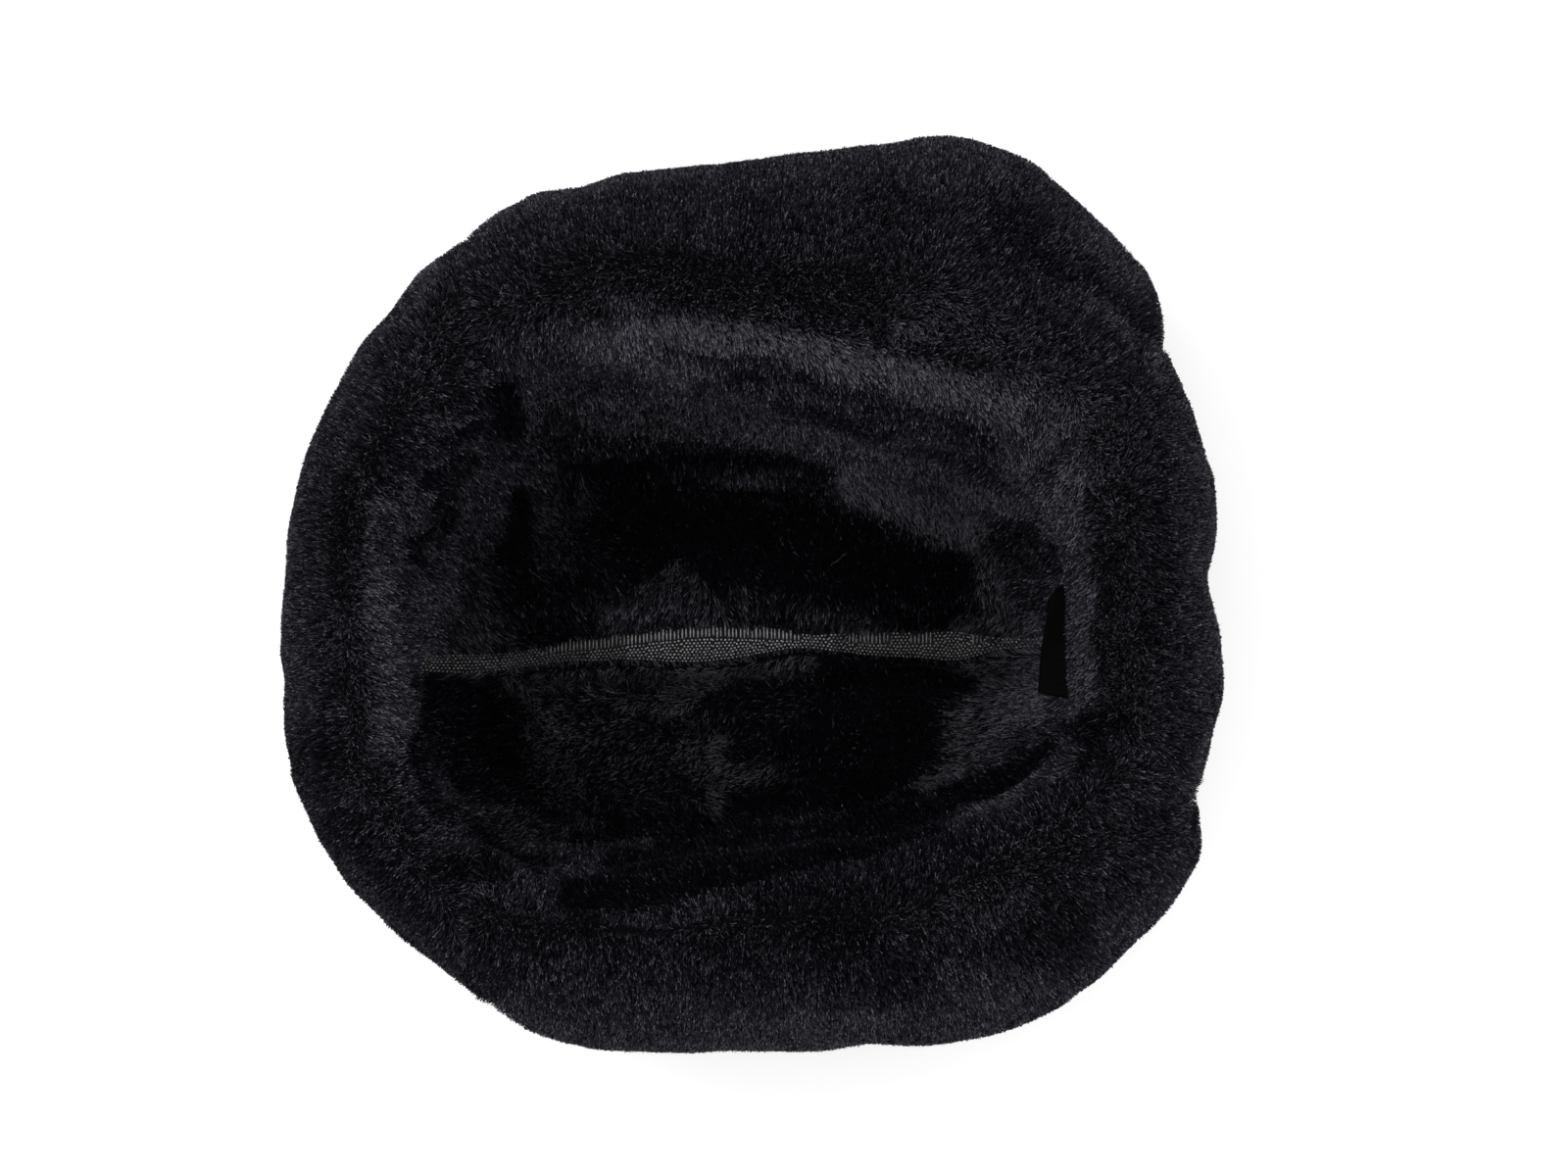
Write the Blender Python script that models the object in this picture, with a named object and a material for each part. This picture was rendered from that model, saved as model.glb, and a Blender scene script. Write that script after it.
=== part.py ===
"""Ushanka in black sheared sheepskin.

The hat lies upside down on its crown, with its flaps turned up, so that their
wool is outside. +Z is up, +X is towards the nape, and the front peak is at -X.
The origin is on the surface under the middle of the hat. Every piece of
sheepskin is one solid: leather on one face, wool in low locks on the other.
"""

import bisect
import math
from collections import namedtuple

import bmesh
import bpy
from mathutils import Vector, noise

# Sizes in millimetres. The tables' angles are degrees in plan about the
# middle of the crown's seam, counted from the nape (+X) towards the left ear.
MM = 0.001
SEAM_MIDDLE = (-1.7, -16.7)   # the point in plan that the angles turn about
SEAM_TURN = 1.5               # of the crown's seam from the X axis, in degrees
WALL = 12.0                   # leather and standing wool together
FLAP_WALL = 11.5
FLOOR = 12.0                  # wool face of the crown's floor above the surface
SEAM_HEIGHT = 104.0           # seam between the crown and the flaps
SEAM_GAP = 0.4
FLAP_GAP = 1.0                # between the side edges of two flaps
CROWN_GAP = 0.4               # between the halves of the crown
HEM_ROUND = 0.42              # how far a hem's edge stands out, in walls
SEAM_CROWDING = 0.115         # how much closer the sections are near the seam
SHARP_EDGE = 50.0

# Handles of the sections' curves, as shares of the way across or down
ROUND = 0.55                  # of a curve that is nearly elliptic
HANG_START = 0.33             # a flap hangs straight down at its widest point
HANG_IN = 0.4                 # and leans in at its hem
HANG_DOWN = 0.7
WALL_START = 0.4              # the crown's wall goes straight down at the seam
WALL_ABOVE = 0.45             # and is nearly straight at its middle
WALL_BELOW = 0.42
FOOT_FLAT = 0.75              # and runs out level at its foot

# Locks of the shorn wool
LOCK_SIZE = 17.0
LOCK_RELIEF = 2.8
EDGE_FADE = 8.0               # locks and folds fade out this close to a seam
MIDDLE_FADE = 26.0            # and this close to the middle of the floor

# The wool is parted along the crown's seam, where the tape lies
PART_FLAT = 8.2
PART_SLOPE = 9.0
PART_DEPTH = 7.4

TAPE_THICK = 1.1
TAPE_LIFT = 0.7
TAPE_CROWN = 0.5              # how much thicker the tape is at its middle
TAPE_FLOOR_STEP = 6.0

LABEL_LENGTH = 36.0
LABEL_WIDTH = 9.2             # that shows at its middle
LABEL_SLANT = 5.6             # how much less of it shows at its upper end
LABEL_CORNER = 2.0            # cut off its upper end by the rounded corner
LABEL_THICK = 1.4
LABEL_LIFT = 0.9              # clear of the wool at its sewn edge
LABEL_ANGLE = 0.9             # where its middle is
LABEL_DROP = 2.5              # below the seam with the neck flap
LABEL_DIP = 27.0              # degrees that it slopes down into the hat
LABEL_WAVE = 0.9
LABEL_SECTIONS = 13
LABEL_SECTION = ((0, 1), (0, 0), (0.92, 0), (1, 0.5), (0.92, 1))    # widths out, thicknesses down

WOOL = (0.012, 0.012, 0.014, 1.0)
TAPE_GREY = (0.035, 0.034, 0.038, 1.0)
SATIN = (0.010, 0.010, 0.011, 1.0)

# The head opening, in plan, at the seam between the crown and the flaps
Opening = namedtuple("Opening", "angle radius")
OPENING = [
    Opening(0, 103.0),
    Opening(16, 106.0),
    Opening(30, 105.5),
    Opening(42, 94.5),
    Opening(57, 81.0),
    Opening(75, 76.5),
    Opening(92, 80.0),
    Opening(108, 91.0),
    Opening(122, 105.0),
    Opening(135, 109.5),
    Opening(152, 107.0),
    Opening(180, 105.0),
    Opening(203, 108.5),
    Opening(216, 106.5),
    Opening(228, 97.0),
    Opening(240, 82.5),
    Opening(254, 70.5),
    Opening(272, 66.0),
    Opening(292, 68.0),
    Opening(310, 78.5),
    Opening(325, 92.0),
    Opening(343, 106.0),
]

# The crown's section at each angle: from the seam the wall comes in and down
# past (wall_r, wall_z) to the edge of the flat floor at foot_r.
Crown = namedtuple("Crown", "angle wall_r wall_z foot_r")
CROWN = [
    Crown(0, 97.0, 58.0, 68.0),
    Crown(20, 99.0, 56.0, 68.0),
    Crown(40, 85.0, 50.0, 60.0),
    Crown(57, 69.0, 46.0, 50.0),
    Crown(75, 66.0, 46.0, 50.0),
    Crown(92, 69.0, 46.0, 53.0),
    Crown(112, 78.0, 47.0, 58.0),
    Crown(135, 96.0, 50.0, 68.0),
    Crown(155, 99.0, 54.0, 66.0),
    Crown(180, 98.0, 58.0, 64.0),
    Crown(205, 101.0, 56.0, 70.0),
    Crown(225, 94.0, 52.0, 68.0),
    Crown(245, 73.0, 50.0, 53.0),
    Crown(270, 62.0, 50.0, 46.0),
    Crown(295, 64.0, 50.0, 48.0),
    Crown(318, 80.0, 52.0, 58.0),
    Crown(340, 98.0, 56.0, 68.0),
]

# A flap's section: from the seam at seam_angle the wool face rises to the
# crest of the fold, comes over to the widest point at out_angle, and goes
# down to the hem at hem_angle. z is the height above the surface.
Flap = namedtuple(
    "Flap",
    "seam_angle out_angle hem_angle crest_r crest_z out_r out_z hem_r hem_z",
)
PEAK_LEFT = Flap(134.5, 124.6, 122.0, 131.0, 121.0, 156.5, 88.0, 153.0, 74.0)
PEAK_RIGHT = Flap(216.0, 234.2, 236.5, 123.0, 120.0, 139.6, 92.0, 137.5, 74.0)
NECK_LEFT = Flap(29.5, 35.5, 37.5, 119.0, 122.0, 161.8, 84.0, 159.5, 66.0)
NECK_RIGHT = Flap(345.7, 343.2, 342.0, 124.0, 121.0, 149.5, 88.0, 146.0, 70.0)

FRONT_PEAK = [
    PEAK_LEFT._replace(hem_angle=128.0),
    Flap(140.0, 131.0, 132.5, 131.0, 125.0, 156.8, 84.0, 154.0, 60.0),
    Flap(148.0, 142.0, 143.0, 130.0, 127.5, 152.0, 82.0, 150.0, 52.0),
    Flap(159.0, 156.0, 156.0, 128.0, 128.5, 152.4, 82.0, 147.5, 50.0),
    Flap(170.0, 169.0, 169.0, 126.0, 129.0, 148.4, 83.0, 143.5, 50.0),
    Flap(181.0, 182.0, 182.0, 125.5, 129.0, 147.4, 84.0, 142.0, 50.0),
    Flap(192.0, 195.0, 195.0, 127.0, 128.5, 149.2, 83.0, 144.0, 50.0),
    Flap(202.0, 209.0, 208.5, 128.0, 126.5, 147.8, 83.0, 142.0, 52.0),
    Flap(210.0, 223.0, 221.5, 125.5, 123.0, 141.5, 85.0, 138.0, 60.0),
    PEAK_RIGHT._replace(hem_angle=230.0),
]
EAR_FLAP_LEFT = [
    NECK_LEFT._replace(hem_angle=40.0),
    Flap(34.5, 40.5, 44.0, 114.0, 127.0, 173.4, 62.0, 167.0, 36.0),
    Flap(43.0, 50.0, 51.5, 108.0, 130.0, 174.6, 54.0, 164.0, 24.0),
    Flap(52.0, 58.5, 59.0, 103.0, 131.5, 177.5, 54.0, 165.5, 19.0),
    Flap(61.0, 66.5, 66.5, 101.0, 132.0, 175.7, 56.0, 164.0, 16.0),
    Flap(70.0, 73.5, 73.0, 99.0, 132.0, 165.5, 58.0, 156.0, 15.0),
    Flap(79.0, 81.5, 80.5, 99.0, 132.0, 157.5, 60.0, 149.0, 15.0),
    Flap(90.0, 91.0, 90.0, 103.0, 132.0, 153.7, 62.0, 145.0, 16.0),
    Flap(104.0, 102.5, 101.0, 112.0, 131.0, 154.2, 64.0, 146.0, 19.0),
    Flap(118.0, 113.5, 110.5, 124.0, 128.5, 156.7, 68.0, 149.0, 30.0),
    Flap(127.0, 119.5, 115.5, 130.0, 125.5, 158.8, 74.0, 151.5, 46.0),
    PEAK_LEFT._replace(hem_angle=118.5),
]
NECK_FLAP = [
    NECK_RIGHT._replace(hem_angle=344.5),
    Flap(351.0, 348.5, 349.5, 124.0, 123.0, 150.2, 84.0, 146.0, 60.0),
    Flap(357.0, 355.0, 355.5, 124.0, 124.0, 151.3, 82.0, 146.0, 54.0),
    Flap(363.0, 362.0, 362.0, 124.0, 124.5, 149.3, 82.0, 144.5, 51.0),
    Flap(369.5, 369.0, 369.0, 124.0, 125.0, 148.8, 82.0, 144.0, 50.0),
    Flap(376.0, 377.5, 377.0, 124.0, 125.0, 154.0, 81.0, 149.0, 51.0),
    Flap(383.0, 387.0, 386.0, 122.0, 124.5, 159.5, 81.0, 154.0, 55.0),
    NECK_LEFT._replace(seam_angle=389.5, out_angle=395.5, hem_angle=393.0),
]
EAR_FLAP_RIGHT = [
    PEAK_RIGHT._replace(hem_angle=240.5),
    Flap(225.0, 240.5, 244.5, 116.5, 124.0, 140.2, 82.0, 133.0, 50.0),
    Flap(235.0, 249.0, 251.0, 106.0, 128.5, 134.4, 74.0, 127.5, 32.0),
    Flap(248.0, 259.0, 259.5, 97.0, 130.5, 130.3, 66.0, 122.0, 20.0),
    Flap(262.0, 270.0, 270.0, 92.0, 131.5, 126.8, 62.0, 119.0, 16.0),
    Flap(276.0, 281.0, 281.0, 92.0, 132.0, 129.0, 60.0, 121.0, 15.0),
    Flap(289.0, 291.5, 291.5, 94.0, 132.0, 134.5, 58.0, 127.0, 15.0),
    Flap(301.0, 302.0, 301.5, 98.0, 131.5, 144.8, 57.0, 135.0, 16.0),
    Flap(312.0, 312.0, 311.0, 104.0, 130.5, 151.6, 56.0, 141.0, 19.0),
    Flap(322.0, 322.0, 320.0, 112.0, 129.0, 154.4, 57.0, 145.5, 24.0),
    Flap(331.0, 331.0, 328.5, 119.0, 127.0, 158.0, 62.0, 149.5, 34.0),
    Flap(339.0, 338.0, 334.5, 123.0, 124.0, 156.0, 72.0, 150.0, 50.0),
    NECK_RIGHT._replace(hem_angle=338.0),
]

# Folds and dents of the wool face. The path is in plan, in millimetres from
# SEAM_MIDDLE. A rise above zero is a ridge and below zero a groove.
Fold = namedtuple("Fold", "path half_width rise")
CROWN_FOLDS = [
    Fold(((-98, 52), (-88, 30), (-93, 8)), 5.0, -3.0),
    Fold(((-80, 52), (-82, 34), (-76, 20)), 4.5, -3.0),
    Fold(((-62, 58), (-20, 60), (24, 56), (46, 42), (66, 24)), 5.0, 3.5),
    Fold(((-4, -8), (-20, -16), (-26, -24)), 5.0, 3.0),
    Fold(((-9, -30), (-10, -58)), 3.5, -2.5),
    Fold(((82, -6), (78, -24), (64, -38), (50, -50)), 5.5, 3.5),
    Fold(((97, -25), (86, -36), (58, -46)), 4.0, -3.0),
]
LEFT_EAR_FOLDS = [
    Fold(((128, 98), (116, 107), (96, 120), (78, 131)), 8.0, -8.0),
    Fold(((-24, 93), (0, 88), (42, 81), (72, 71)), 4.5, -2.0),
]
RIGHT_EAR_FOLDS = [
    Fold(((142, -48), (118, -58), (88, -66)), 7.0, -4.5),
    Fold(((-70, -112), (-30, -104), (12, -100)), 9.0, -2.0),
]
NECK_FOLDS = [
    Fold(((150, 18), (128, 22), (112, 14)), 7.0, -2.5),
]
PEAK_FOLDS = [
    Fold(((-118, 96), (-112, 66)), 8.0, 2.0),
    Fold(((-150, -12), (-128, -8)), 9.0, -1.8),
]

# The tape's middle line beside the seam, towards the left ear, and its width,
# by the distance along the seam from SEAM_MIDDLE
Tape = namedtuple("Tape", "x aside width")
TAPE = [
    Tape(-105, -2.6, 5.4),
    Tape(-90, -3.2, 6.5),
    Tape(-76, -2.7, 5.6),
    Tape(-69, -2.2, 4.8),
    Tape(-63, -0.5, 6.0),
    Tape(-50, 0.0, 7.2),
    Tape(-38, 0.9, 8.5),
    Tape(-18, 1.0, 11.7),
    Tape(2, 1.6, 9.4),
    Tape(12, 1.9, 6.6),
    Tape(20, 1.0, 4.4),
    Tape(31, 0.3, 6.4),
    Tape(45, -0.6, 8.1),
    Tape(60, -1.3, 8.5),
    Tape(68, -1.8, 10.3),
    Tape(77, -1.2, 5.4),
    Tape(85, -1.3, 3.6),
    Tape(97, -1.3, 3.2),
]

# How finely each kind of piece is divided
FLAP_STEP = 9.0               # between sections, at the outer edge
CROWN_SECTIONS = 34           # in each half
RISE_STEPS = 5                # wool face, seam to crest
OVER_STEPS = 8                # crest to the widest point
DOWN_STEPS = 5                # widest point to the hem
WALL_STEPS = 9                # crown's wall
FLOOR_RINGS = (0.86, 0.68, 0.5, 0.34, 0.21, 0.12)


def spline(knots, values, at):
    """Smooth curve through the values, by Hermite pieces over the knots."""
    last = len(knots) - 1
    i = min(max(bisect.bisect_right(knots, at) - 1, 0), last - 1)
    span = knots[i + 1] - knots[i]

    def slope(k):
        lo = max(k - 1, 0)
        hi = min(k + 1, last)
        return (values[hi] - values[lo]) / (knots[hi] - knots[lo])

    t = (at - knots[i]) / span
    t2 = t * t
    t3 = t2 * t
    return (
        (2 * t3 - 3 * t2 + 1) * values[i]
        + (t3 - 2 * t2 + t) * span * slope(i)
        + (3 * t2 - 2 * t3) * values[i + 1]
        + (t3 - t2) * span * slope(i + 1)
    )


def around(rows, at):
    """A row of a table that goes all the way round, at any angle."""
    wrapped = [row._replace(angle=row.angle - 360) for row in rows[-3:]]
    wrapped += list(rows)
    wrapped += [row._replace(angle=row.angle + 360) for row in rows[:3]]
    knots = [row.angle for row in wrapped]
    columns = zip(*wrapped)
    return type(rows[0])(*(spline(knots, column, at % 360) for column in columns))


def along(rows, count):
    """The rows of a flap's table, made into count sections."""
    knots = [row.seam_angle for row in rows]
    columns = list(zip(*rows))
    ends = knots[0], knots[-1]
    angles = [ends[0] + (ends[1] - ends[0]) * i / (count - 1) for i in range(count)]
    return [type(rows[0])(*(spline(knots, c, at) for c in columns)) for at in angles]


def bezier(a, b, c, d, steps):
    """Points of a cubic curve, without its first point."""
    points = []
    for i in range(1, steps + 1):
        t = i / steps
        s = 1 - t
        weights = s * s * s, 3 * s * s * t, 3 * s * t * t, t * t * t
        points.append(
            tuple(sum(w * p[k] for w, p in zip(weights, (a, b, c, d))) for k in (0, 1))
        )
    return points


def quarter(start, end, rising, steps):
    """Quarter of an oval: upright at its start if rising, else level there."""
    across = ROUND * (end[0] - start[0])
    up = ROUND * (end[1] - start[1])
    if rising:
        handles = (start[0], start[1] + up), (end[0] - across, end[1])
    else:
        handles = (start[0] + across, start[1]), (end[0], end[1] - up)
    return bezier(start, handles[0], handles[1], end, steps)


def section_normals(points, first):
    """Unit normals of a section, to the left of its direction; the first is given."""
    normals = [first]
    for i in range(1, len(points)):
        before = points[max(i - 1, 0)]
        after = points[min(i + 1, len(points) - 1)]
        dr = after[0] - before[0]
        dz = after[1] - before[1]
        length = math.hypot(dr, dz)
        normals.append((-dz / length, dr / length))
    return normals


def place(angle, radius, z):
    """Point in the hat's frame, in millimetres."""
    turn = math.radians(angle)
    return Vector((
        SEAM_MIDDLE[0] + radius * math.cos(turn),
        SEAM_MIDDLE[1] + radius * math.sin(turn),
        z,
    ))


def seam_ways():
    """Level directions along the crown's seam and across it."""
    turn = math.radians(SEAM_TURN)
    ahead = Vector((math.cos(turn), math.sin(turn), 0))
    return ahead, Vector((-ahead.y, ahead.x, 0))


def fade(distance, reach):
    """0 at no distance, rising smoothly to 1 at the reach."""
    t = min(max(distance / reach, 0.0), 1.0)
    return t * t * (3 - 2 * t)


def path_distance(path, point):
    """Distance in plan from a point to a line of points, from SEAM_MIDDLE."""
    here = Vector((point.x - SEAM_MIDDLE[0], point.y - SEAM_MIDDLE[1]))
    best = math.inf
    for a, b in zip(path, path[1:]):
        a = Vector(a)
        b = Vector(b)
        t = (here - a).dot(b - a) / (b - a).length_squared
        best = min(best, (here - a - min(max(t, 0.0), 1.0) * (b - a)).length)
    return best


def relief(point, folds):
    """Height of the locks and folds of the wool face at a point."""
    height = LOCK_RELIEF * noise.noise(point / LOCK_SIZE)
    for fold in folds:
        reach = path_distance(fold.path, point) / fold.half_width
        if reach < 3:
            height += fold.rise * math.exp(-reach * reach)
    return height


def flap_section(row):
    """Wool face of a flap at one section: (angle, r, z, r normal, z normal)."""
    seam = around(OPENING, row.seam_angle).radius, SEAM_HEIGHT
    crest = row.crest_r, row.crest_z
    widest = row.out_r, row.out_z
    hem = row.hem_r, row.hem_z
    across = hem[0] - widest[0]
    down = hem[1] - widest[1]
    start = widest[0], widest[1] + HANG_START * down
    end = widest[0] + HANG_IN * across, widest[1] + HANG_DOWN * down
    points = [seam]
    points += quarter(seam, crest, True, RISE_STEPS)
    points += quarter(crest, widest, False, OVER_STEPS)
    points += bezier(widest, start, end, hem, DOWN_STEPS)
    folded = RISE_STEPS + OVER_STEPS
    angles = []
    for i in range(len(points)):
        if i <= folded:
            part = i / folded
            angles.append(row.seam_angle + part * (row.out_angle - row.seam_angle))
        else:
            part = (i - folded) / DOWN_STEPS
            angles.append(row.out_angle + part * (row.hem_angle - row.out_angle))
    return [
        (angle, r, z, nr, nz)
        for angle, (r, z), (nr, nz) in zip(angles, points, section_normals(points, (-1, 0)))
    ]


def flap_side(section, side, edge, folds):
    """Points of one section of a flap: wool face, hem edge, leather face."""
    wool = []
    leather = []
    for i, (angle, r, z, nr, nz) in enumerate(section):
        angle += side * math.degrees(FLAP_GAP / 2 / r)
        to_hem = (len(section) - 1 - i) * FLAP_STEP
        free = fade(min(edge, i * FLAP_STEP, to_hem), EDGE_FADE)
        height = free * relief(place(angle, r, z), folds)
        wool.append(place(angle, r + nr * height, z + nz * height))
        if i % 2 == 0:
            leather.append(place(angle, r - nr * FLAP_WALL, z - nz * FLAP_WALL))
    angle, r, z, nr, nz = section[-1]
    inward = FLAP_WALL / 2
    beyond = HEM_ROUND * FLAP_WALL
    hem = place(
        angle + side * math.degrees(FLAP_GAP / 2 / r),
        r - nr * inward + nz * beyond,
        z - nz * inward - nr * beyond,
    )
    return wool, hem, leather


def flap_sides(rows, folds):
    """Sections of a flap at even steps from one side edge to the other."""
    turn = abs(rows[-1].out_angle - rows[0].out_angle)
    width = math.radians(turn) * max(row.out_r for row in rows)
    sections = along(rows, round(width / FLAP_STEP))
    last = len(sections) - 1
    sides = []
    for number, row in enumerate(sections):
        rising = rows[-1].seam_angle > rows[0].seam_angle
        side = 1 if number == 0 else -1 if number == last else 0
        edge = min(number, last - number) * FLAP_STEP
        sides.append(flap_side(flap_section(row), side if rising else -side, edge, folds))
    return sides


def crown_angles(start):
    """Angles of a half's sections, closer together near the crown's seam."""
    angles = []
    for i in range(CROWN_SECTIONS + 1):
        t = i / CROWN_SECTIONS
        angles.append(start + 180 * (t - SEAM_CROWDING * math.sin(2 * math.pi * t)))
    return angles


def crown_section(angle):
    """Wool face of the crown from its edge to the foot of its wall: (r, z)."""
    edge = around(OPENING, angle).radius, SEAM_HEIGHT - SEAM_GAP
    row = around(CROWN, angle)
    wall = row.wall_r, row.wall_z
    foot = row.foot_r, FLOOR
    lean = foot[0] - edge[0], foot[1] - edge[1]
    above = WALL_ABOVE * (edge[1] - wall[1]) / abs(lean[1])
    below = WALL_BELOW * (wall[1] - foot[1]) / abs(lean[1])
    upper = WALL_STEPS // 2
    return [edge] + bezier(
        edge,
        (edge[0], edge[1] - WALL_START * (edge[1] - wall[1])),
        (wall[0] - lean[0] * above, wall[1] - lean[1] * above),
        wall,
        upper,
    ) + bezier(
        wall,
        (wall[0] + lean[0] * below, wall[1] + lean[1] * below),
        (foot[0] + FOOT_FLAT * (wall[0] - foot[0]), foot[1]),
        foot,
        WALL_STEPS - upper,
    )


def crown_height(point, free):
    """Height of the wool face at a point of the crown over its even form."""
    off = (point - place(0, 0, 0)).dot(seam_ways()[1])
    pressed = 1 - fade(abs(off) - PART_FLAT, PART_SLOPE)
    return (1 - pressed) * free * relief(point, CROWN_FOLDS) - pressed * PART_DEPTH


def crown_side(angle):
    """Points of one section of the crown: wool face, leather face."""
    points = crown_section(angle)
    inside = []
    outside = []
    for i, ((r, z), (nr, nz)) in enumerate(zip(points, section_normals(points, (1, 0)))):
        height = crown_height(place(angle, r, z), min(i, 1))
        inside.append(place(angle, r - nr * height, z - nz * height))
        if i < WALL_STEPS:
            outside.append(place(angle, r + nr * WALL, max(z + nz * WALL, 0.0)))
    foot = points[-1][0]
    outside.append(place(angle, foot, 0.0))
    for ring in FLOOR_RINGS:
        point = place(angle, foot * ring, FLOOR)
        height = crown_height(point, fade(foot * ring, MIDDLE_FADE))
        inside.append(point + Vector((0, 0, height)))
    return inside, outside


def add_points(bm, points, shift=Vector()):
    """Vertices of the mesh at points in millimetres."""
    return [bm.verts.new((point + shift) * MM) for point in points]


def loft(bm, lines):
    """Faces between each line of vertices and the next."""
    for one, two in zip(lines, lines[1:]):
        for i in range(len(one) - 1):
            bm.faces.new((one[i], one[i + 1], two[i + 1], two[i]))


def close_side(bm, wool, leather):
    """The flat side edge of a piece, between its wool and its leather face."""
    for k in range(len(leather) - 1):
        a, b, c = wool[2 * k:2 * k + 3]
        bm.faces.new((a, b, leather[k]))
        bm.faces.new((b, leather[k + 1], leather[k]))
        bm.faces.new((b, c, leather[k + 1]))


def make_object(name, bm, material, collection):
    """Object of one closed mesh whose faces point out."""
    bmesh.ops.recalc_face_normals(bm, faces=bm.faces)
    mesh = bpy.data.meshes.new(name)
    bm.to_mesh(mesh)
    bm.free()
    mesh.shade_smooth()
    mesh.set_sharp_from_angle(angle=math.radians(SHARP_EDGE))
    mesh.materials.append(material)
    item = bpy.data.objects.new(name, mesh)
    collection.objects.link(item)
    return item


def make_flap(name, rows, folds, material, collection):
    """A flap folded over the rim, wool outside."""
    bm = bmesh.new()
    rings = []
    for wool, hem, leather in flap_sides(rows, folds):
        rings.append((
            add_points(bm, wool),
            add_points(bm, [hem])[0],
            add_points(bm, leather),
        ))
    loft(bm, [
        (*wool, hem, *reversed(leather), wool[0]) for wool, hem, leather in rings
    ])
    for wool, hem, leather in (rings[0], rings[-1]):
        close_side(bm, wool, leather)
        bm.faces.new((wool[-1], hem, leather[-1]))
    return make_object(name, bm, material, collection)


def make_crown_half(name, start, material, collection):
    """Half of the crown, cut along its seam, from one end of the seam to the other."""
    bm = bmesh.new()
    shift = place(start + 90, CROWN_GAP / 2, 0) - place(0, 0, 0)
    middle = place(0, 0, FLOOR - PART_DEPTH), place(0, 0, 0)
    top, bottom = add_points(bm, middle, shift)
    lines = []
    for angle in crown_angles(start):
        inside, outside = crown_side(angle)
        lines.append((
            add_points(bm, inside, shift),
            add_points(bm, outside, shift),
        ))
    loft(bm, [(*reversed(outside), *inside) for inside, outside in lines])
    for one, two in zip(lines, lines[1:]):
        bm.faces.new((one[0][-1], two[0][-1], top))
        bm.faces.new((one[1][-1], two[1][-1], bottom))
    for inside, outside in (lines[0], lines[-1]):
        bm.faces.new((*inside, top, bottom, *reversed(outside)))
    return make_object(name, bm, material, collection)


def seam_profile():
    """Bottom of the parting, from the front of the crown to its back: (along, z)."""
    lines = []
    for angle in (180, 0):
        points = crown_section(angle + SEAM_TURN)
        lines.append([
            (r + nr * PART_DEPTH, z + nz * PART_DEPTH)
            for (r, z), (nr, nz) in zip(points, section_normals(points, (1, 0)))
        ])
    front, back = lines
    profile = [(-r, z) for r, z in front]
    across = back[-1][0] + front[-1][0]
    steps = round(across / TAPE_FLOOR_STEP)
    for i in range(1, steps):
        profile.append((across * i / steps - front[-1][0], FLOOR - PART_DEPTH))
    return profile + list(reversed(back))


def make_tape(name, material, collection):
    """Tape along the parting of the crown's wool, thicker at its middle."""
    profile = seam_profile()
    knots, offsets, widths = zip(*TAPE)
    ahead, across = seam_ways()
    bm = bmesh.new()
    lines = []
    for (x, z), (nx, nz) in list(zip(profile, section_normals(profile, (1, 0))))[1:-1]:
        at = min(max(x, knots[0]), knots[-1])
        middle = spline(knots, offsets, at)
        half = spline(knots, widths, at) / 2
        section = []
        for side, lift in (
            (1, 0), (1, TAPE_THICK), (0, TAPE_THICK + TAPE_CROWN), (-1, TAPE_THICK), (-1, 0),
        ):
            out = TAPE_LIFT + lift
            spot = place(0, 0, z + nz * out) + ahead * (x + nx * out)
            section.append(spot + across * (middle + side * half))
        lines.append(add_points(bm, section))
    loft(bm, [(*line, line[0]) for line in lines])
    bm.faces.new(lines[0])
    bm.faces.new(lines[-1])
    return make_object(name, bm, material, collection)


def make_label(name, material, collection):
    """Folded strip, sewn in at the seam and sloping down into the hat."""
    dip = math.radians(LABEL_DIP)
    inward = -math.cos(dip), -math.sin(dip)
    above = -inward[1], inward[0] * -1
    bm = bmesh.new()
    lines = []
    for i in range(LABEL_SECTIONS):
        across = LABEL_LENGTH * (i / (LABEL_SECTIONS - 1) - 0.5)
        edge = around(OPENING, LABEL_ANGLE).radius
        angle = LABEL_ANGLE + math.degrees(across / edge)
        root = around(OPENING, angle).radius - LABEL_LIFT
        wave = LABEL_WAVE * math.sin(across / LABEL_LENGTH * 2 * math.pi)
        width = LABEL_WIDTH - LABEL_SLANT * across / LABEL_LENGTH
        width -= LABEL_CORNER * (1 - fade(LABEL_LENGTH / 2 - across, LABEL_CORNER))
        section = []
        for out, under in LABEL_SECTION:
            r = root + inward[0] * out * width + above[0] * under * LABEL_THICK
            z = inward[1] * out * width - above[1] * under * LABEL_THICK
            section.append(place(angle, r, SEAM_HEIGHT - LABEL_DROP + z + wave * out))
        lines.append(add_points(bm, section))
    loft(bm, [(*line, line[0]) for line in lines])
    bm.faces.new(lines[0])
    bm.faces.new(lines[-1])
    return make_object(name, bm, material, collection)


def make_material(name, color, roughness):
    """Plain Principled material."""
    material = bpy.data.materials.new(name)
    material.use_nodes = True
    shader = material.node_tree.nodes["Principled BSDF"]
    shader.inputs["Base Color"].default_value = color
    shader.inputs["Roughness"].default_value = roughness
    return material


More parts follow.
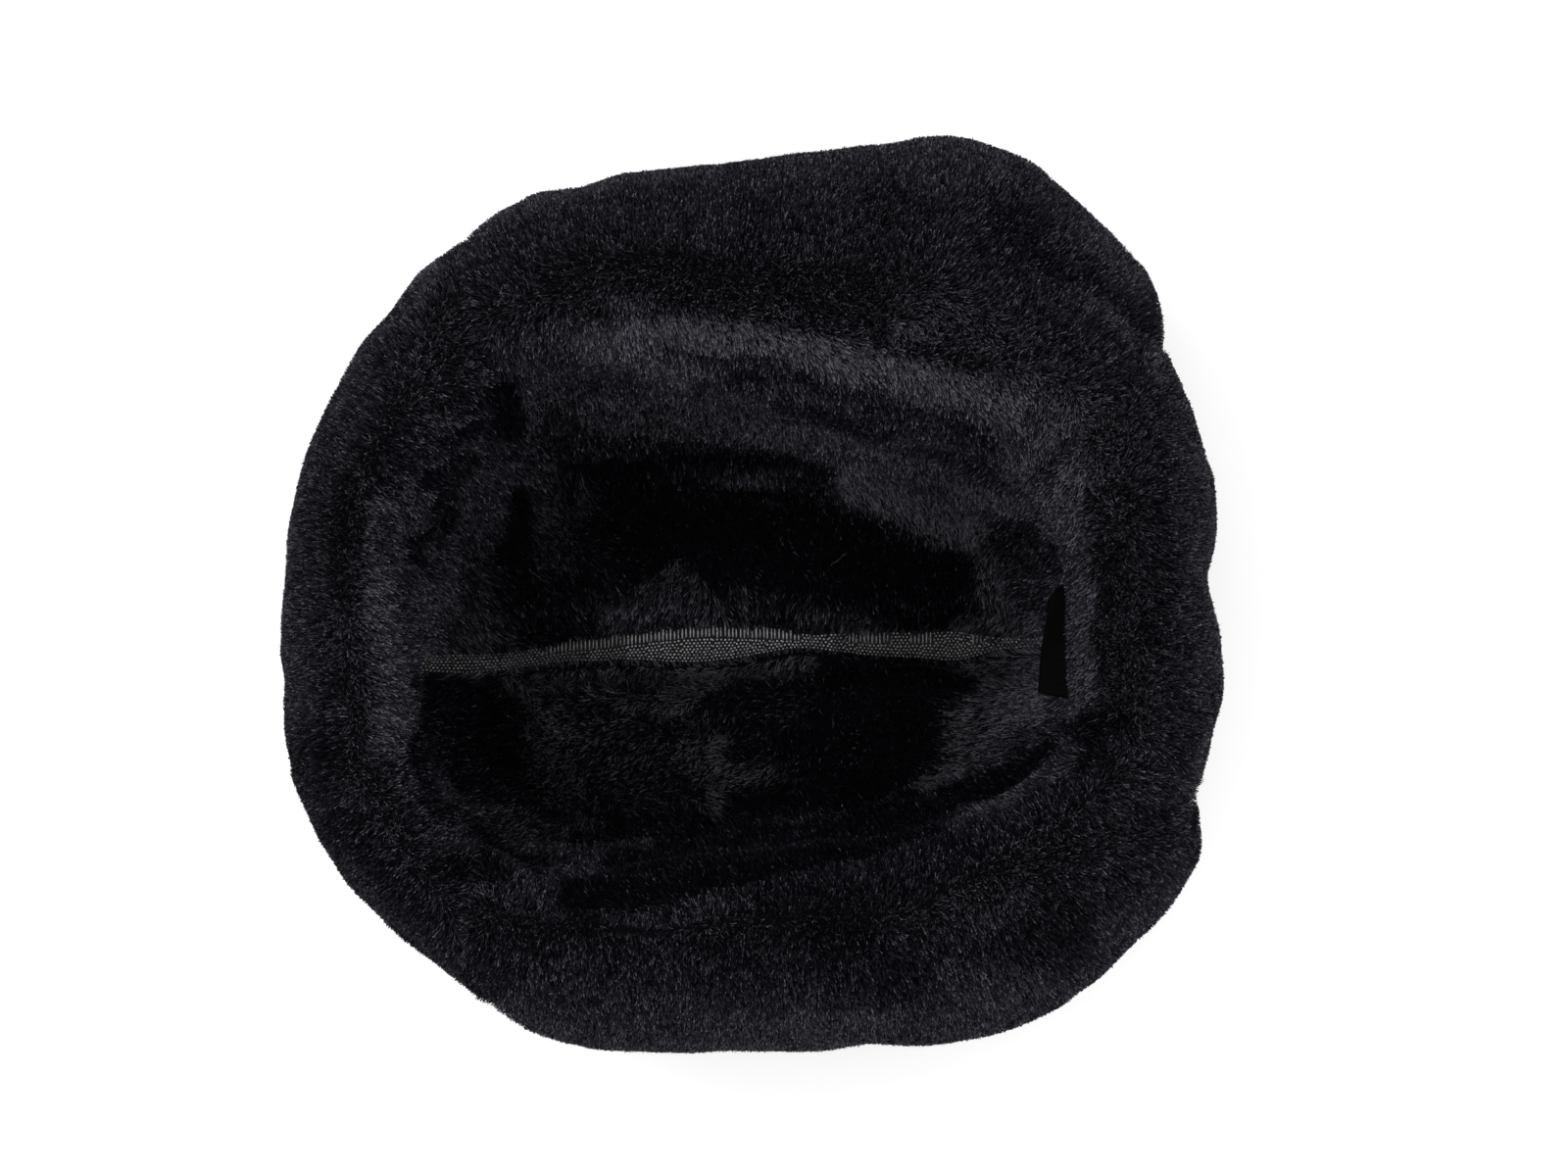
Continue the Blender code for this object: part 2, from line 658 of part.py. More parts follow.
def main():
    for item in list(bpy.data.objects):
        bpy.data.objects.remove(item)
    collection = bpy.data.collections.new("ushanka")
    bpy.context.scene.collection.children.link(collection)

    for name, start in (("crown_left", SEAM_TURN), ("crown_right", SEAM_TURN + 180)):
        make_crown_half(name, start, make_material(name, WOOL, 0.8), collection)
    make_tape("seam_tape", make_material("seam_tape", TAPE_GREY, 0.85), collection)
    for name, rows, folds in (
        ("front_peak", FRONT_PEAK, PEAK_FOLDS),
        ("ear_flap_left", EAR_FLAP_LEFT, LEFT_EAR_FOLDS),
        ("ear_flap_right", EAR_FLAP_RIGHT, RIGHT_EAR_FOLDS),
        ("neck_flap", NECK_FLAP, NECK_FOLDS),
    ):
        make_flap(name, rows, folds, make_material(name, WOOL, 0.8), collection)
    make_label("label", make_material("label", SATIN, 0.3), collection)


main()
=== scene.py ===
"""Looks of the ushanka: shorn black sheepskin, a knitted seam tape and a satin label.

Every piece of sheepskin is its CAD solid dressed as a hide, with leather on one
face and the pelt on the other, and wool strands that stand or lie in the pelt.
"""

import functools
import math
from collections import namedtuple

import bmesh
import bpy
import numpy as np
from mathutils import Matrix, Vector
from mathutils.bvhtree import BVHTree


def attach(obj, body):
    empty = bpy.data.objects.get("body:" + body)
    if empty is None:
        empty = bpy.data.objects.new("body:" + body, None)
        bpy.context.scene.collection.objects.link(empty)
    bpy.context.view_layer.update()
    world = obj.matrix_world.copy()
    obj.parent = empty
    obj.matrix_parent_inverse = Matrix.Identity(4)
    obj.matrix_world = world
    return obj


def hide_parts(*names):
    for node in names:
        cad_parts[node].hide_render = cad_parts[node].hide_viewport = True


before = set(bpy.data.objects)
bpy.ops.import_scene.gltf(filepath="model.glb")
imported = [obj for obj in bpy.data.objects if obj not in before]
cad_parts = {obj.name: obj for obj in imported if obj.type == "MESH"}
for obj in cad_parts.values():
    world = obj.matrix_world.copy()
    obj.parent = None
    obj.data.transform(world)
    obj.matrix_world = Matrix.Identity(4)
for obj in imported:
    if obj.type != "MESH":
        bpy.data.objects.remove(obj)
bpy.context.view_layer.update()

MM = 0.001

# The photograph's frame, at the height of the rim
VIEW_WIDTH = 500 * MM
VIEW_MIDDLE = (10.2 * MM, 2.1 * MM)
RIM_HEIGHT = 95 * MM
CAMERA_HEIGHT = 8.0
SENSOR = 36.0

# Tables in this script are in millimetres, in plan about the hat's origin
SEAM_X = -1.7
SEAM_Y = -16.7
SEAM_TURN = math.radians(1.5)
SEAM_HEIGHT = 104
SEAM_LAP = 0.4

# Wool
PELT_DEPTH = 1.3              # of the pelt under the ends of the wool
LEAST_HIDE = 1.2              # thickness left under the pelt
STRAND_LENGTH = 3.0
STRAND_WIDTH = 0.33
STRAND_HEIGHT = 1.8           # of the strands' ends over the CAD surface
UNEVEN_ENDS = 0.25
BLUNT = 0.6                   # share of the strands whose cut end is wide
TONE_SPREAD = 2.0             # how much neighbouring strands differ, in tones
SPECK = (0.6, 0.6, 2.4)       # size of the wool's light and dark specks
SPECK_TONE = 0.7
DRIFT = 26                    # size of the wool's slow turns
TUFT = 3.2
TUFT_LEAN = 0.05              # how far tufts and single strands lean on their own
STRAND_LEAN = 0.22
STROKE_EDGE = (0.4, 1.4)      # where a stroke starts to fade and ends, in half widths
WANDER = (2.0, 13)            # how far a stroke's edge strays, and over what distance
CREST_PAINTED_LIGHT = 0.12             # painted light: how much lighter the wool is painted on top of the flaps, where light reaches its standing strands only at a graze
CREST_PAINTED_LIGHT_FACING = (0.6, 0.95)
UPRIGHT_PAINTED_LIGHT = 0.12           # painted light: and how much lighter it is painted where it stands straight
UPRIGHT_LEAN = 0.14
SEAM_BLEND = 22               # height over which the crown's wool turns into the flaps'
TAPE_LAP = 0.5                # how far wool grows under the tape's sides
TAPE_WOOL = (0.8, 3.2)        # where the wool that leans on the tape ends
TAPE_WOOL_LEAN = 42
TAPE_WOOL_PAINTED_LIGHT = 0.6          # how much lighter it is painted, as painted light over the tape's shadow
TAPE_SIDE = (8.2, 17.2)       # where the longer wool beside the tape ends
TAPE_SIDE_RISE = 1.4
FLOOR_CLEAR = 0.3             # of all wool
OUT_FACING = (-0.2, 0.5)      # how far out a flap's wool faces where its outside starts
COMB_DOWN = 0.6               # how far wool with no stroke is combed down
DRIFT_TURN = 0.4              # how far the slow turns comb the wool aside
DRIFT_LEAN = 6                # and how many degrees they lean it
COMBED = (0.1, 0.8)           # length of the comb at which wool starts to lean, and leans in full
LEAN_RANGE = (2, 75)
LEAST_RISING = 0.25           # for strands that lie nearly flat
LEAST_ROOT = 0.5              # depth of the roots under the CAD surface
LEVEL_FACING = 0.2            # wool that faces up more is rooted above the crown's leather
LENGTH_SPREAD = (0.85, 1.15)
WIDTH_SPREAD = (0.7, 1.3)
BLADE_TURN = 0.4              # how unevenly the blades are turned about their length
TUFT_TONE = 0.4
WANDER_SEED = 40

# How the faces of a CAD hide are told apart
WOOL, LEATHER, SIDE, SEAM = range(4)
CUT_FACING = 0.85             # least facing of a cut edge's faces along or up
RIM_NEAR = 0.7                # how near to their plane the sewn rims' faces lie
SEAM_NEAR = 0.5
SHARP_EDGE = 50.0
SPAN = math.radians(6)
FOLD_HEIGHT = 60
HOLLOW_HEIGHT = 110           # of a point in the hollow that the crown's wool faces

# Tones of the wool, from the darkest strands to the lightest, and their sheen
Tone = namedtuple("Tone", "color sheen")
TONES = [
    Tone((0.0012, 0.0012, 0.0026), 0.10),
    Tone((0.0036, 0.0036, 0.0058), 0.16),
    Tone((0.0090, 0.0088, 0.0120), 0.22),
    Tone((0.0200, 0.0196, 0.0250), 0.28),
    Tone((0.0430, 0.0420, 0.0520), 0.32),
    Tone((0.0950, 0.0930, 0.1100), 0.36),
]
SHEEN_TINT = (0.78, 0.78, 1.0)

# How many strands each piece of sheepskin has
STRANDS = {
    "ear_flap_left": 190000,
    "ear_flap_right": 180000,
    "front_peak": 140000,
    "neck_flap": 100000,
    "crown_left": 115000,
    "crown_right": 95000,
}

# The way the wool lies. Where a stroke passes, the wool is combed towards the
# angle in plan, leans that many degrees from standing, and has that tone, from
# 0 to 1. The tone is partly the wool's own and partly painted light and shade:
# painted shade darkens the hollows, grooves and creases, and painted sheen
# lightens the bands where the light catches the combed wool and some wool in
# shadow. Rise lifts or presses the surface. Later strokes lie over earlier ones.
Stroke = namedtuple("Stroke", "path half_width rise comb lean tone")
FLAP_BASE = Stroke((), 0, 0, 0, 20, 0.26)
CROWN_BASE = Stroke((), 0, 0, 0, 30, 0.22)
STROKES = [
    # crown's floor and walls, left half
    Stroke(((-100, 40), (-99, 7), (-92, -12)), 16, 0, 300, 40, 0.36),
    Stroke(((-79, 2), (-67, -6)), 8, 0, 300, 20, 0.14),
    Stroke(((-46, 32), (-20, 32), (18, 29), (40, 15), (56, 3)), 14, 0, 290, 15, 0.06),
    Stroke(((-30, 18), (30, 12), (60, 0)), 12, 0, 290, 15, -0.06),
    Stroke(((-56, 30), (-65, 24), (-62, 14)), 7, 0, 300, 20, 0.80),
    Stroke(((-20, 31), (22, 32), (36, 27)), 4, 0, 290, 20, 0.14),
    Stroke(((-66, 60), (-41, 60), (-14, 57), (8, 52)), 8.5, 0, 285, 50, 0.44),
    Stroke(((-66, 51), (-50, 47), (-30, 46), (-8, 44)), 4.4, 0, 285, 30, 0.12),
    Stroke(((-64, 56), (-50, 50), (-58, 42), (-61, 32)), 4.6, 0, 285, 30, 0.14),
    Stroke(((-56, 47), (-46, 48), (-38, 50)), 4, 0, 285, 40, 0.08),
    Stroke(((-4, 35), (16, 36), (34, 36)), 3.4, 0, 285, 20, 0.04),
    Stroke(((4, 54), (24, 50), (44, 43), (64, 35)), 6.5, 0, 285, 50, 0.56),
    Stroke(((32, 36), (48, 30), (62, 23), (72, 20)), 7, 0, 290, 50, 0.94),
    Stroke(((68, 33), (84, 30)), 4.5, 0, 290, 45, 0.78),
    Stroke(((76, 50), (88, 44)), 4, 0, 290, 45, 0.50),
    Stroke(((-63, 43), (-42, 42), (-28, 42)), 1.8, -0.8, 300, 10, -0.3),
    Stroke(((-28, 39), (-14, 40)), 3, 0, 290, 35, 0.02),
    Stroke(((-28, 44), (-9, 45.5), (10, 44), (26, 40)), 2.0, -0.6, 280, 20, -0.2),
    Stroke(((-10, 39), (6, 39.5)), 3, 0.4, 280, 40, 0.38),
    Stroke(((-98, 60), (-88, 64)), 4, -1, 300, 20, 0.16),
    Stroke(((-78, 65), (-79, 56)), 6, -2, 300, 5, -0.6),
    Stroke(((-86, 53.5), (-98, 49)), 3.4, -0.8, 300, 10, -0.1),
    Stroke(((-92, 44), (-98, 41), (-104, 37)), 3, -0.8, 300, 10, 0.0),
    Stroke((
        (-90, 42), (-96, 37), (-99, 30), (-98, 24), (-103, 20), (-108, 17),
    ), 3, -0.8, 300, 10, -0.05),
    Stroke(((-108, 12), (-105, 9)), 3, -0.6, 300, 10, 0.02),
    Stroke(((-76, 31), (-75, 22), (-80, 13)), 4.2, -0.6, 300, 10, -0.3),
    Stroke(((-45, -7), (-34, -4), (-22, 0), (-15, -4)), 5.5, 0.6, 250, 45, 0.48),
    Stroke(((-31, 3), (-24, 9), (-20, 4)), 4, 0.8, 250, 45, 0.56),
    Stroke(((-1.7, 2), (-1.7, -9)), 1.4, 0.5, 270, 50, 0.60),
    Stroke(((24, -1), (66, -3)), 3.4, 0, 290, 15, -0.04),
    Stroke(((17, -7), (30, -9), (38, -10)), 3.2, 0.6, 250, 45, 0.44),
    Stroke(((-97, -13), (-84, -13)), 3, 0, 300, 40, 0.58),
    Stroke(((95, 20), (80, 17)), 8, 0, 250, 20, 0.20),
    Stroke(((86, 40), (94, 30), (98, 18)), 5, 0, 250, 40, 0.52),
    Stroke(((82, 8), (90, 10), (97, 15)), 3.5, 0, 250, 40, 0.18),
    Stroke(((75, 10), (77, 2), (84, -8)), 5, 0, 300, 45, 0.76),
    Stroke(((68, -8), (92, -9)), 3.6, 0, 250, 45, 0.74),
    # crown, right half
    Stroke(((-78, -36), (-64, -52), (-68, -66)), 16, 0, 200, 35, 0.78),
    Stroke(((-46, -48), (-32, -60)), 14, 0, 200, 35, 0.50),
    Stroke(((-66, -31), (-46, -30)), 5, 0.3, 240, 45, 0.66),
    Stroke(((-84, -27.5), (-60, -25), (-20, -24), (12, -20)), 3.4, 0.4, 260, 40, 0.72),
    Stroke(((-98, -34), (-88, -42), (-84, -48)), 12, -0.4, 300, 12, -0.2),
    Stroke(((-88, -62), (-76, -64)), 6, -0.4, 300, 12, 0.10),
    Stroke(((-88, -74), (-66, -76)), 5.5, 0.4, 300, 40, 0.40),
    Stroke(((14, -46), (38, -52), (46, -44)), 17, 0, 250, 15, 0.10),
    Stroke(((30, -24), (58, -26)), 6, 0, 250, 15, 0.08),
    Stroke(((23, -26), (30, -32)), 3.5, 0, 250, 15, 0.10),
    Stroke(((-12, -62), (10, -60)), 9, 0, 220, 25, 0.36),
    Stroke(((-12, -40), (10, -34)), 10, 0, 220, 30, 0.34),
    Stroke(((92, -28), (79, -34), (72, -46)), 11, 0, 200, 40, 0.98),
    Stroke(((73, -24), (86, -23)), 6, 0, 220, 40, 0.74),
    Stroke(((58, -30), (69, -30)), 4, 0, 220, 20, 0.12),
    Stroke(((100, -18), (97, -32)), 5, 0, 220, 40, 0.62),
    Stroke(((-99, -52), (-98, -60), (-95, -67)), 1.8, 0.4, 300, 40, 0.44),
    Stroke(((-97, -46), (-92, -58)), 3.4, -0.4, 300, 12, -0.15),
    Stroke(((-106, -30), (-107, -48), (-104, -56)), 4.4, -0.8, 300, 15, -0.2),
    Stroke(((-104, -56), (-102, -66), (-95, -72)), 3, -0.6, 300, 15, 0.04),
    Stroke(((-101, -38), (-98, -50), (-95, -59)), 4, -0.4, 300, 12, -0.1),
    Stroke(((-90, -76), (-85, -80), (-75, -85), (-66, -89)), 2.8, -0.8, 320, 15, 0.0),
    Stroke(((-28, -37), (-22, -29), (-5, -24), (17, -22)), 4.5, 0.8, 240, 45, 0.68),
    Stroke(((-44, -32), (-34, -34)), 4, 0.4, 240, 45, 0.78),
    Stroke(((-24, -35), (-19, -28.5), (-12, -25.5)), 5, 0.8, 240, 45, 1.1),
    Stroke(((-9.5, -46), (-9.5, -78)), 2.8, 0.6, 180, 50, 0.84),
    Stroke(((-20, -50), (-14, -58), (4, -57)), 5, 0, 200, 35, 0.90),
    Stroke(((-46, -75), (-14, -74)), 3.4, 0, 200, 25, 0.08),
    Stroke(((-5, -72), (2, -71)), 3.4, 0, 200, 25, 0.0),
    Stroke(((0, -70), (44, -66)), 5, 0, 200, 25, -0.08),
    Stroke(((-56, -80), (-20, -76)), 3, 0, 200, 25, 0.20),
    # groove between the right half of the crown and the right ear flap, its wool painted dark as
    # painted shade
    Stroke((
        (-54, -97), (-30, -94), (-10, -90), (10, -86), (30, -80), (56, -74),
    ), 6.5, -0.6, 200, 20, -0.16),
    Stroke(((26, -77), (44, -73), (62, -69)), 5, -0.6, 200, 15, -0.3),
    Stroke(((-26, -81), (-8, -78), (6, -75), (22, -71)), 5, -0.3, 200, 20, -0.06),
    Stroke(((8, -74), (28, -73)), 1.8, 0.3, 200, 35, 0.24),
    Stroke(((-64, -92), (-50, -89)), 1.8, 0.3, 200, 35, 0.34),
    Stroke(((-44, -87.5), (-20, -84.5), (0, -80.5), (30, -76)), 4, -0.3, 200, 20, -0.12),
    Stroke(((95, -49), (90, -54.5), (84, -59), (75, -63), (61, -67)), 4, -1, 200, 15, -0.2),
    Stroke(((36, -62), (48, -61.5)), 4, 0, 200, 20, -0.3),
    Stroke(((57, -62.5), (62, -59), (67, -56)), 3.4, 0.4, 215, 45, 1.2),
    Stroke(((103, -51), (98, -58), (86, -65), (72, -70)), 2.4, 0.6, 215, 40, 0.48),
    Stroke(((103, -42), (118, -39.5)), 4, -0.6, 200, 15, -0.1),
    Stroke(((110, -45), (107, -54)), 4, -0.6, 200, 15, -0.1),
    # left ear flap
    Stroke(((-60, 102), (17, 99), (62, 91)), 8, 0, 250, 26, 0.34),
    Stroke(((84, 118), (107, 98), (126, 83)), 7, 0, 20, 15, 0.16),
    Stroke(((42, 92), (62, 88), (80, 80), (96, 68), (106, 54), (112, 40)), 9, 0, 20, 15, 0.44),
    Stroke(((103, 95), (112, 89), (122, 80), (130, 70)), 4, 0, 30, 20, 0.60),
    Stroke(((46, 84), (56, 84)), 4, 0, 290, 45, 0.60),
    Stroke(((58, 92), (76, 84)), 6, 0, 290, 35, 0.46),
    Stroke(((30, 128), (46, 120)), 9, 0, 20, 16, 0.34),
    Stroke(((106, 116), (122, 100)), 7, 0, 40, 20, 0.44),
    Stroke(((-78, 77), (-62, 83)), 6, 0, 290, 45, 0.18),
    Stroke(((-52, 80), (-41, 80), (-27, 74), (-14, 68)), 6, 0, 290, 45, 0.56),
    Stroke(((-36, 85), (-26, 85.5), (-10, 83), (13, 79), (31, 75)), 7, 0.6, 290, 50, 0.72),
    Stroke(((31, 75), (53, 69), (75, 63), (91, 57)), 7.5, 0.4, 300, 50, 0.68),
    Stroke(((-27, 80), (6, 74.5)), 1.3, -1.0, 290, 20, 0.48),
    Stroke(((-18, 67), (12, 68.5), (34, 63)), 3, -0.3, 295, 25, 0.22),
    Stroke(((76, 71), (90, 67)), 4, 0, 290, 40, 0.52),
    Stroke(((10, 61), (22, 58), (42, 52)), 4, -0.8, 300, 20, 0.0),
    Stroke(((34, 60), (52, 54), (75, 47)), 4.5, -0.6, 300, 25, 0.22),
    Stroke(((-2, 68), (20, 63), (34, 60)), 2.4, 0.3, 300, 40, 0.32),
    Stroke(((18, 93), (36, 89)), 5, 0, 290, 30, 0.18),
    Stroke(((-44, 92), (-30, 91)), 4, 0, 290, 40, 0.44),
    Stroke(((-72, 66), (-54, 70)), 4, 0, 290, 40, 0.28),
    Stroke(((56, 138), (74, 132)), 6, 0, 60, 15, 0.44),
    Stroke(((96, 112), (103, 106)), 4, 0, 40, 15, 0.42),
    Stroke(((-2, 122), (0, 108)), 5, 0, 90, 15, 0.14),
    Stroke(((80, 118), (82, 108)), 4, 0, 60, 15, 0.20),
    Stroke(((-48, 132), (-12, 134)), 5, 0, 100, 15, 0.44),
    # nape
    Stroke(((91, 57), (102, 40), (104, 13), (103, 2)), 6, 0, 250, 45, 0.48),
    Stroke(((96, 64), (103, 48), (106, 40)), 6, 0, 250, 45, 0.62),
    Stroke(((105, 0), (107, -22), (102, -34)), 6, 0, 230, 42, 0.60),
    Stroke(((114, 15), (115, -20)), 5, 0, 20, 15, 0.48),
    Stroke(((116, -26), (117, -34)), 4, 0, 20, 15, 0.58),
    Stroke(((128, 28), (127, 14)), 7, 0, 300, 25, 0.20),
    Stroke(((131, 8), (129, -14)), 5, 0, 300, 25, 0.20),
    Stroke(((138, 50), (143, 10), (140, -30)), 8, 0, 0, 15, 0.46),
    # right ear flap
    Stroke(((122, -50), (120, -66), (110, -80), (88, -90), (66, -100)), 9, 0, 330, 18, 0.36),
    Stroke(((-46, -105), (-22, -102), (-6, -98), (12, -94)), 3.4, 0, 95, 22, 0.36),
    Stroke(((8, -98), (36, -95), (66, -84)), 8, 0, 95, 22, 0.06),
    Stroke(((-79, -118), (-41, -117), (6, -117)), 13, 0, 280, 25, 0.20),
    Stroke(((20, -108), (46, -120), (52, -133)), 10, 0, 290, 18, 0.10),
    Stroke(((38, -134), (62, -132)), 6, 0, 290, 18, 0.18),
    Stroke(((68, -100), (86, -93)), 6, 0, 290, 25, 0.50),
    Stroke(((86, -112), (98, -102), (104, -116)), 8, 0, 330, 15, 0.12),
    Stroke(((66, -124), (84, -126)), 10, 0, 290, 18, 0.48),
    Stroke(((-70, -130), (-30, -134), (20, -136), (60, -141)), 10, 0, 280, 25, 0.42),
    # front peak
    Stroke(((-124, 20), (-124, -20), (-122, -55)), 4, 0, 325, 20, 0.42),
    Stroke(((-120, 27), (-119, 7), (-118, -20), (-113, -34), (-117, -46)), 6, 0.3, 325, 45, 0.46),
    Stroke(((-112, 54), (-104, 48), (-118, 42)), 7, 0, 325, 30, 0.14),
    Stroke(((-119, 24), (-118, 14)), 4, 0, 325, 40, 0.28),
    Stroke(((-100, 98), (-101, 88)), 6, 0, 325, 30, 0.60),
    Stroke(((-138, -50), (-144, -62), (-132, -76), (-110, -102)), 9, 0, 220, 20, 0.02),
    Stroke(((-100, -85), (-82, -87)), 5, 0, 220, 20, 0.12),
    Stroke(((-130, 36), (-130, 4)), 5, 0, 325, 20, 0.36),
    # outer rims that stand out or are shorter
    Stroke(((-145, 52), (-150, 28), (-151, -12)), 5, -0.9, 200, 20, 0.36),
    Stroke(((-150, -38), (-149, -54)), 4, -1.2, 200, 20, 0.14),
    Stroke(((-145, -60), (-138, -75)), 4, 0.5, 220, 20, 0.10),
    Stroke(((-131, -86), (-118, -101), (-104, -115), (-84, -129)), 6, -0.9, 220, 20, 0.16),
    Stroke(((-78, -135), (-64, -140)), 4, -0.5, 240, 20, 0.40),
    Stroke(((-130, 80), (-126, 85)), 4, -0.7, 130, 20, 0.30),
    Stroke(((-86, 121), (-60, 129), (-40, 134)), 5, -0.5, 120, 20, 0.44),
    Stroke(((113, 111), (119, 107)), 4, -0.6, 40, 20, 0.40),
    Stroke(((141, 56), (138, 64)), 4, -0.5, 20, 20, 0.40),
    Stroke(((140, -62), (142, -66)), 3, -0.8, 330, 20, 0.50),
    Stroke(((16, 142), (60, 145), (84, 141), (92, 137)), 5, 0.9, 90, 20, 0.44),
    Stroke(((146, 36), (148, 12)), 5, 1.0, 0, 20, 0.46),
    Stroke(((149, -6), (151, -28)), 4, -0.5, 0, 20, 0.50),
    Stroke(((147, -44), (144, -58)), 4, -0.4, 330, 20, 0.52),
    Stroke(((143, -70), (142, -80)), 5, 0.4, 330, 20, 0.22),
    Stroke(((104, -124), (122, -106)), 4, -0.5, 330, 20, 0.36),
    Stroke(((-50, -144), (10, -144), (60, -141), (86, -134), (96, -128)), 5, 0.7, 280, 20, 0.42),
]

# Knitted tape over the crown's seam
TAPE_TONES = [
    (0.008, 0.008, 0.009),
    (0.58, 0.575, 0.60),
    (0.14, 0.138, 0.14),
    (0.40, 0.396, 0.41),
    (0.26, 0.258, 0.27),
]
# X where each tone of stitches ends, and their size
TAPE_STRETCHES = ((-68, 3, 0.74), (-56, 4, 0.85), (-40, 3, 0.9), (26, 1, 1.0), (130, 3, 0.92))
TAPE_FRAY = 0.5               # how unevenly the tape's sides end
TAPE_FADE = 2                 # tones that its edges are darker
STITCH = 1.25                 # from stitch to stitch along the tape
STITCH_ROW = 1.0              # from row to row
STITCH_WIDE = 0.34
STITCH_TALL = 0.31
RIBS = ((-68, 16), (31, 45), (51, 58), (70, 74))  # X where the tape's edge is ribbed
RIB_TALL = 3.9
RIB_WIDE = 0.27
TAPE_POLE = 92                # height that the tape is seen from
TAPE_RAYS = 700
TAPE_REACH = 12               # most that the tape is off the middle of the hat
TAPE_LOOK = 0.75              # from one ray to the next across the tape
TAPE_STEP = 0.5
TAPE_SOFTNESS = 21            # steps over which its line is evened
TAPE_EDGE_DROP = 0.4
TAPE_ENDS = 0.01              # turn of the first and the last ray from level
BAND_TOP = -0.25              # heights of the thin band's faces over the solid's
BAND_UNDER = -0.8
BAND_COLUMNS = 7
SPAN_HALVINGS = 6
STITCH_SEED = 7
STITCH_STRAY = (0.12, 0.07)   # in steps along the tape, and across it
STITCH_SPREAD = (0.85, 1.1)
STITCH_FOOT = -0.3            # height at which a stitch starts
STITCH_SIDES = 6
# Rings of a stitch: their share of its size and their height
STITCH_RINGS = ((1.0, STITCH_FOOT), (0.85, 0.0), (0.45, 0.2))

LABEL_X = (84, 106)           # between which the label lies
LABEL_LOOK = 0.2
LABEL_ROWS = 41
LABEL_TURN = 2.3              # of the strip's section, in widths
LABEL_UNDER = 1.0             # its second layer is this far below
LABEL_SPAN = (0.005, 0.995)   # share of the solid's length between which it is read
LABEL_COLUMNS = 25
LABEL_BULGE = 0.04            # of its fold past its edge, in widths
LABEL_SLOPE_FROM = 0.25       # share of its width from which its slope is read
LABEL_PUCKER = 0.25
LABEL_WAVES = (9, 2)          # turns of its puckers along and across, in radians
FALL_FROM = 0.2               # metres, where rays that look down start

HAIR_TONE = Tone((0.10, 0.10, 0.105), 0.4)
HAIR_LIFT = 1.0
HAIR_THICKNESS = 0.07         # its radius at the root
HAIR_TAPER = 0.6
HAIR_STEPS = 14
HAIR_SEED = 11
HAIR_WAVE = 0.9               # turn of its curl from step to step, in radians
HAIR_BEND = 0.45
HAIR_STRAY = 0.08
HAIR_CORNERS = (0.5, 2.6, 4.7)  # turns of a section's corners, in radians

# Hairs and threads that lie loose: where they start, their length, turn and curl
Hair = namedtuple("Hair", "x y length turn curl")
LOOSE_HAIRS = [
    Hair(-77.0, 114.5, 13, 20, 1.4),
    Hair(-79.0, 99.0, 8, 285, 0.9),
    Hair(21.0, 136.0, 10, 30, 1.2),
    Hair(-45.5, 130.0, 9, 340, 0.8),
    Hair(52.0, -85.0, 8, 40, 1.3),
    Hair(122.0, -38.0, 9, 300, 1.0),
    Hair(-107.0, -14.0, 7, 120, 0.8),
    Hair(-105.0, -16.0, 6, 60, 0.9),
    Hair(25.0, 9.0, 7, 15, 0.7),
    Hair(-7.0, -3.0, 6, 80, 0.5),
    Hair(40.0, 24.0, 8, 350, 1.0),
    Hair(-72.0, 9.0, 9, 300, 0.4),
]


def cloud(points, size, seed, channels):
    """Soft random values from -1 to 1 that change over about the size."""
    rng = np.random.default_rng(seed)
    cells = 32
    lattice = rng.uniform(-1, 1, (cells, cells, cells, channels))
    at = points / size
    low = np.floor(at).astype(int)
    part = at - low
    part = part * part * (3 - 2 * part)
    total = np.zeros((len(points), channels))
    for corner in np.ndindex(2, 2, 2):
        weight = np.ones(len(points))
        for k in range(3):
            weight *= part[:, k] if corner[k] else 1 - part[:, k]
        i, j, k = ((low + corner) % cells).T
        total += lattice[i, j, k] * weight[:, None]
    return total


def unit(vectors):
    """The vectors at a length of 1."""
    length = np.linalg.norm(vectors, axis=1, keepdims=True)
    return vectors / np.maximum(length, 1e-12)


def smooth_step(low, high, value):
    """0 below low, 1 above high, and smooth between."""
    t = np.clip((value - low) / (high - low), 0, 1)
    return t * t * (3 - 2 * t)


def path_distance(path, plan):
    """Distance in plan of each point from a line of points."""
    best = np.full(len(plan), np.inf)
    for a, b in zip(path, path[1:]):
        a = np.array(a, float)
        along = np.array(b, float) - a
        t = np.clip((plan - a) @ along / (along @ along), 0, 1)
        best = np.minimum(best, np.linalg.norm(plan - a - t[:, None] * along, axis=1))
    return best


def control_mesh(node):
    """Welded copy of a CAD node's mesh."""
    bm = bmesh.new()
    bm.from_mesh(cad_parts[node].data)
    bmesh.ops.remove_doubles(bm, verts=bm.verts, dist=0.00001)
    bm.normal_update()
    return bm


def turn_of(point):
    """Angle in plan about the middle of the crown's seam."""
    return math.atan2(point.y - SEAM_Y * MM, point.x - SEAM_X * MM)


def radius_of(point):
    """Distance in plan from the middle of the crown's seam."""
    return math.hypot(point.y - SEAM_Y * MM, point.x - SEAM_X * MM)


def off_seam(x, y):
    """Distance in plan from the crown's seam, in metres like x and y."""
    return (y - SEAM_Y * MM) * math.cos(SEAM_TURN) - (x - SEAM_X * MM) * math.sin(SEAM_TURN)


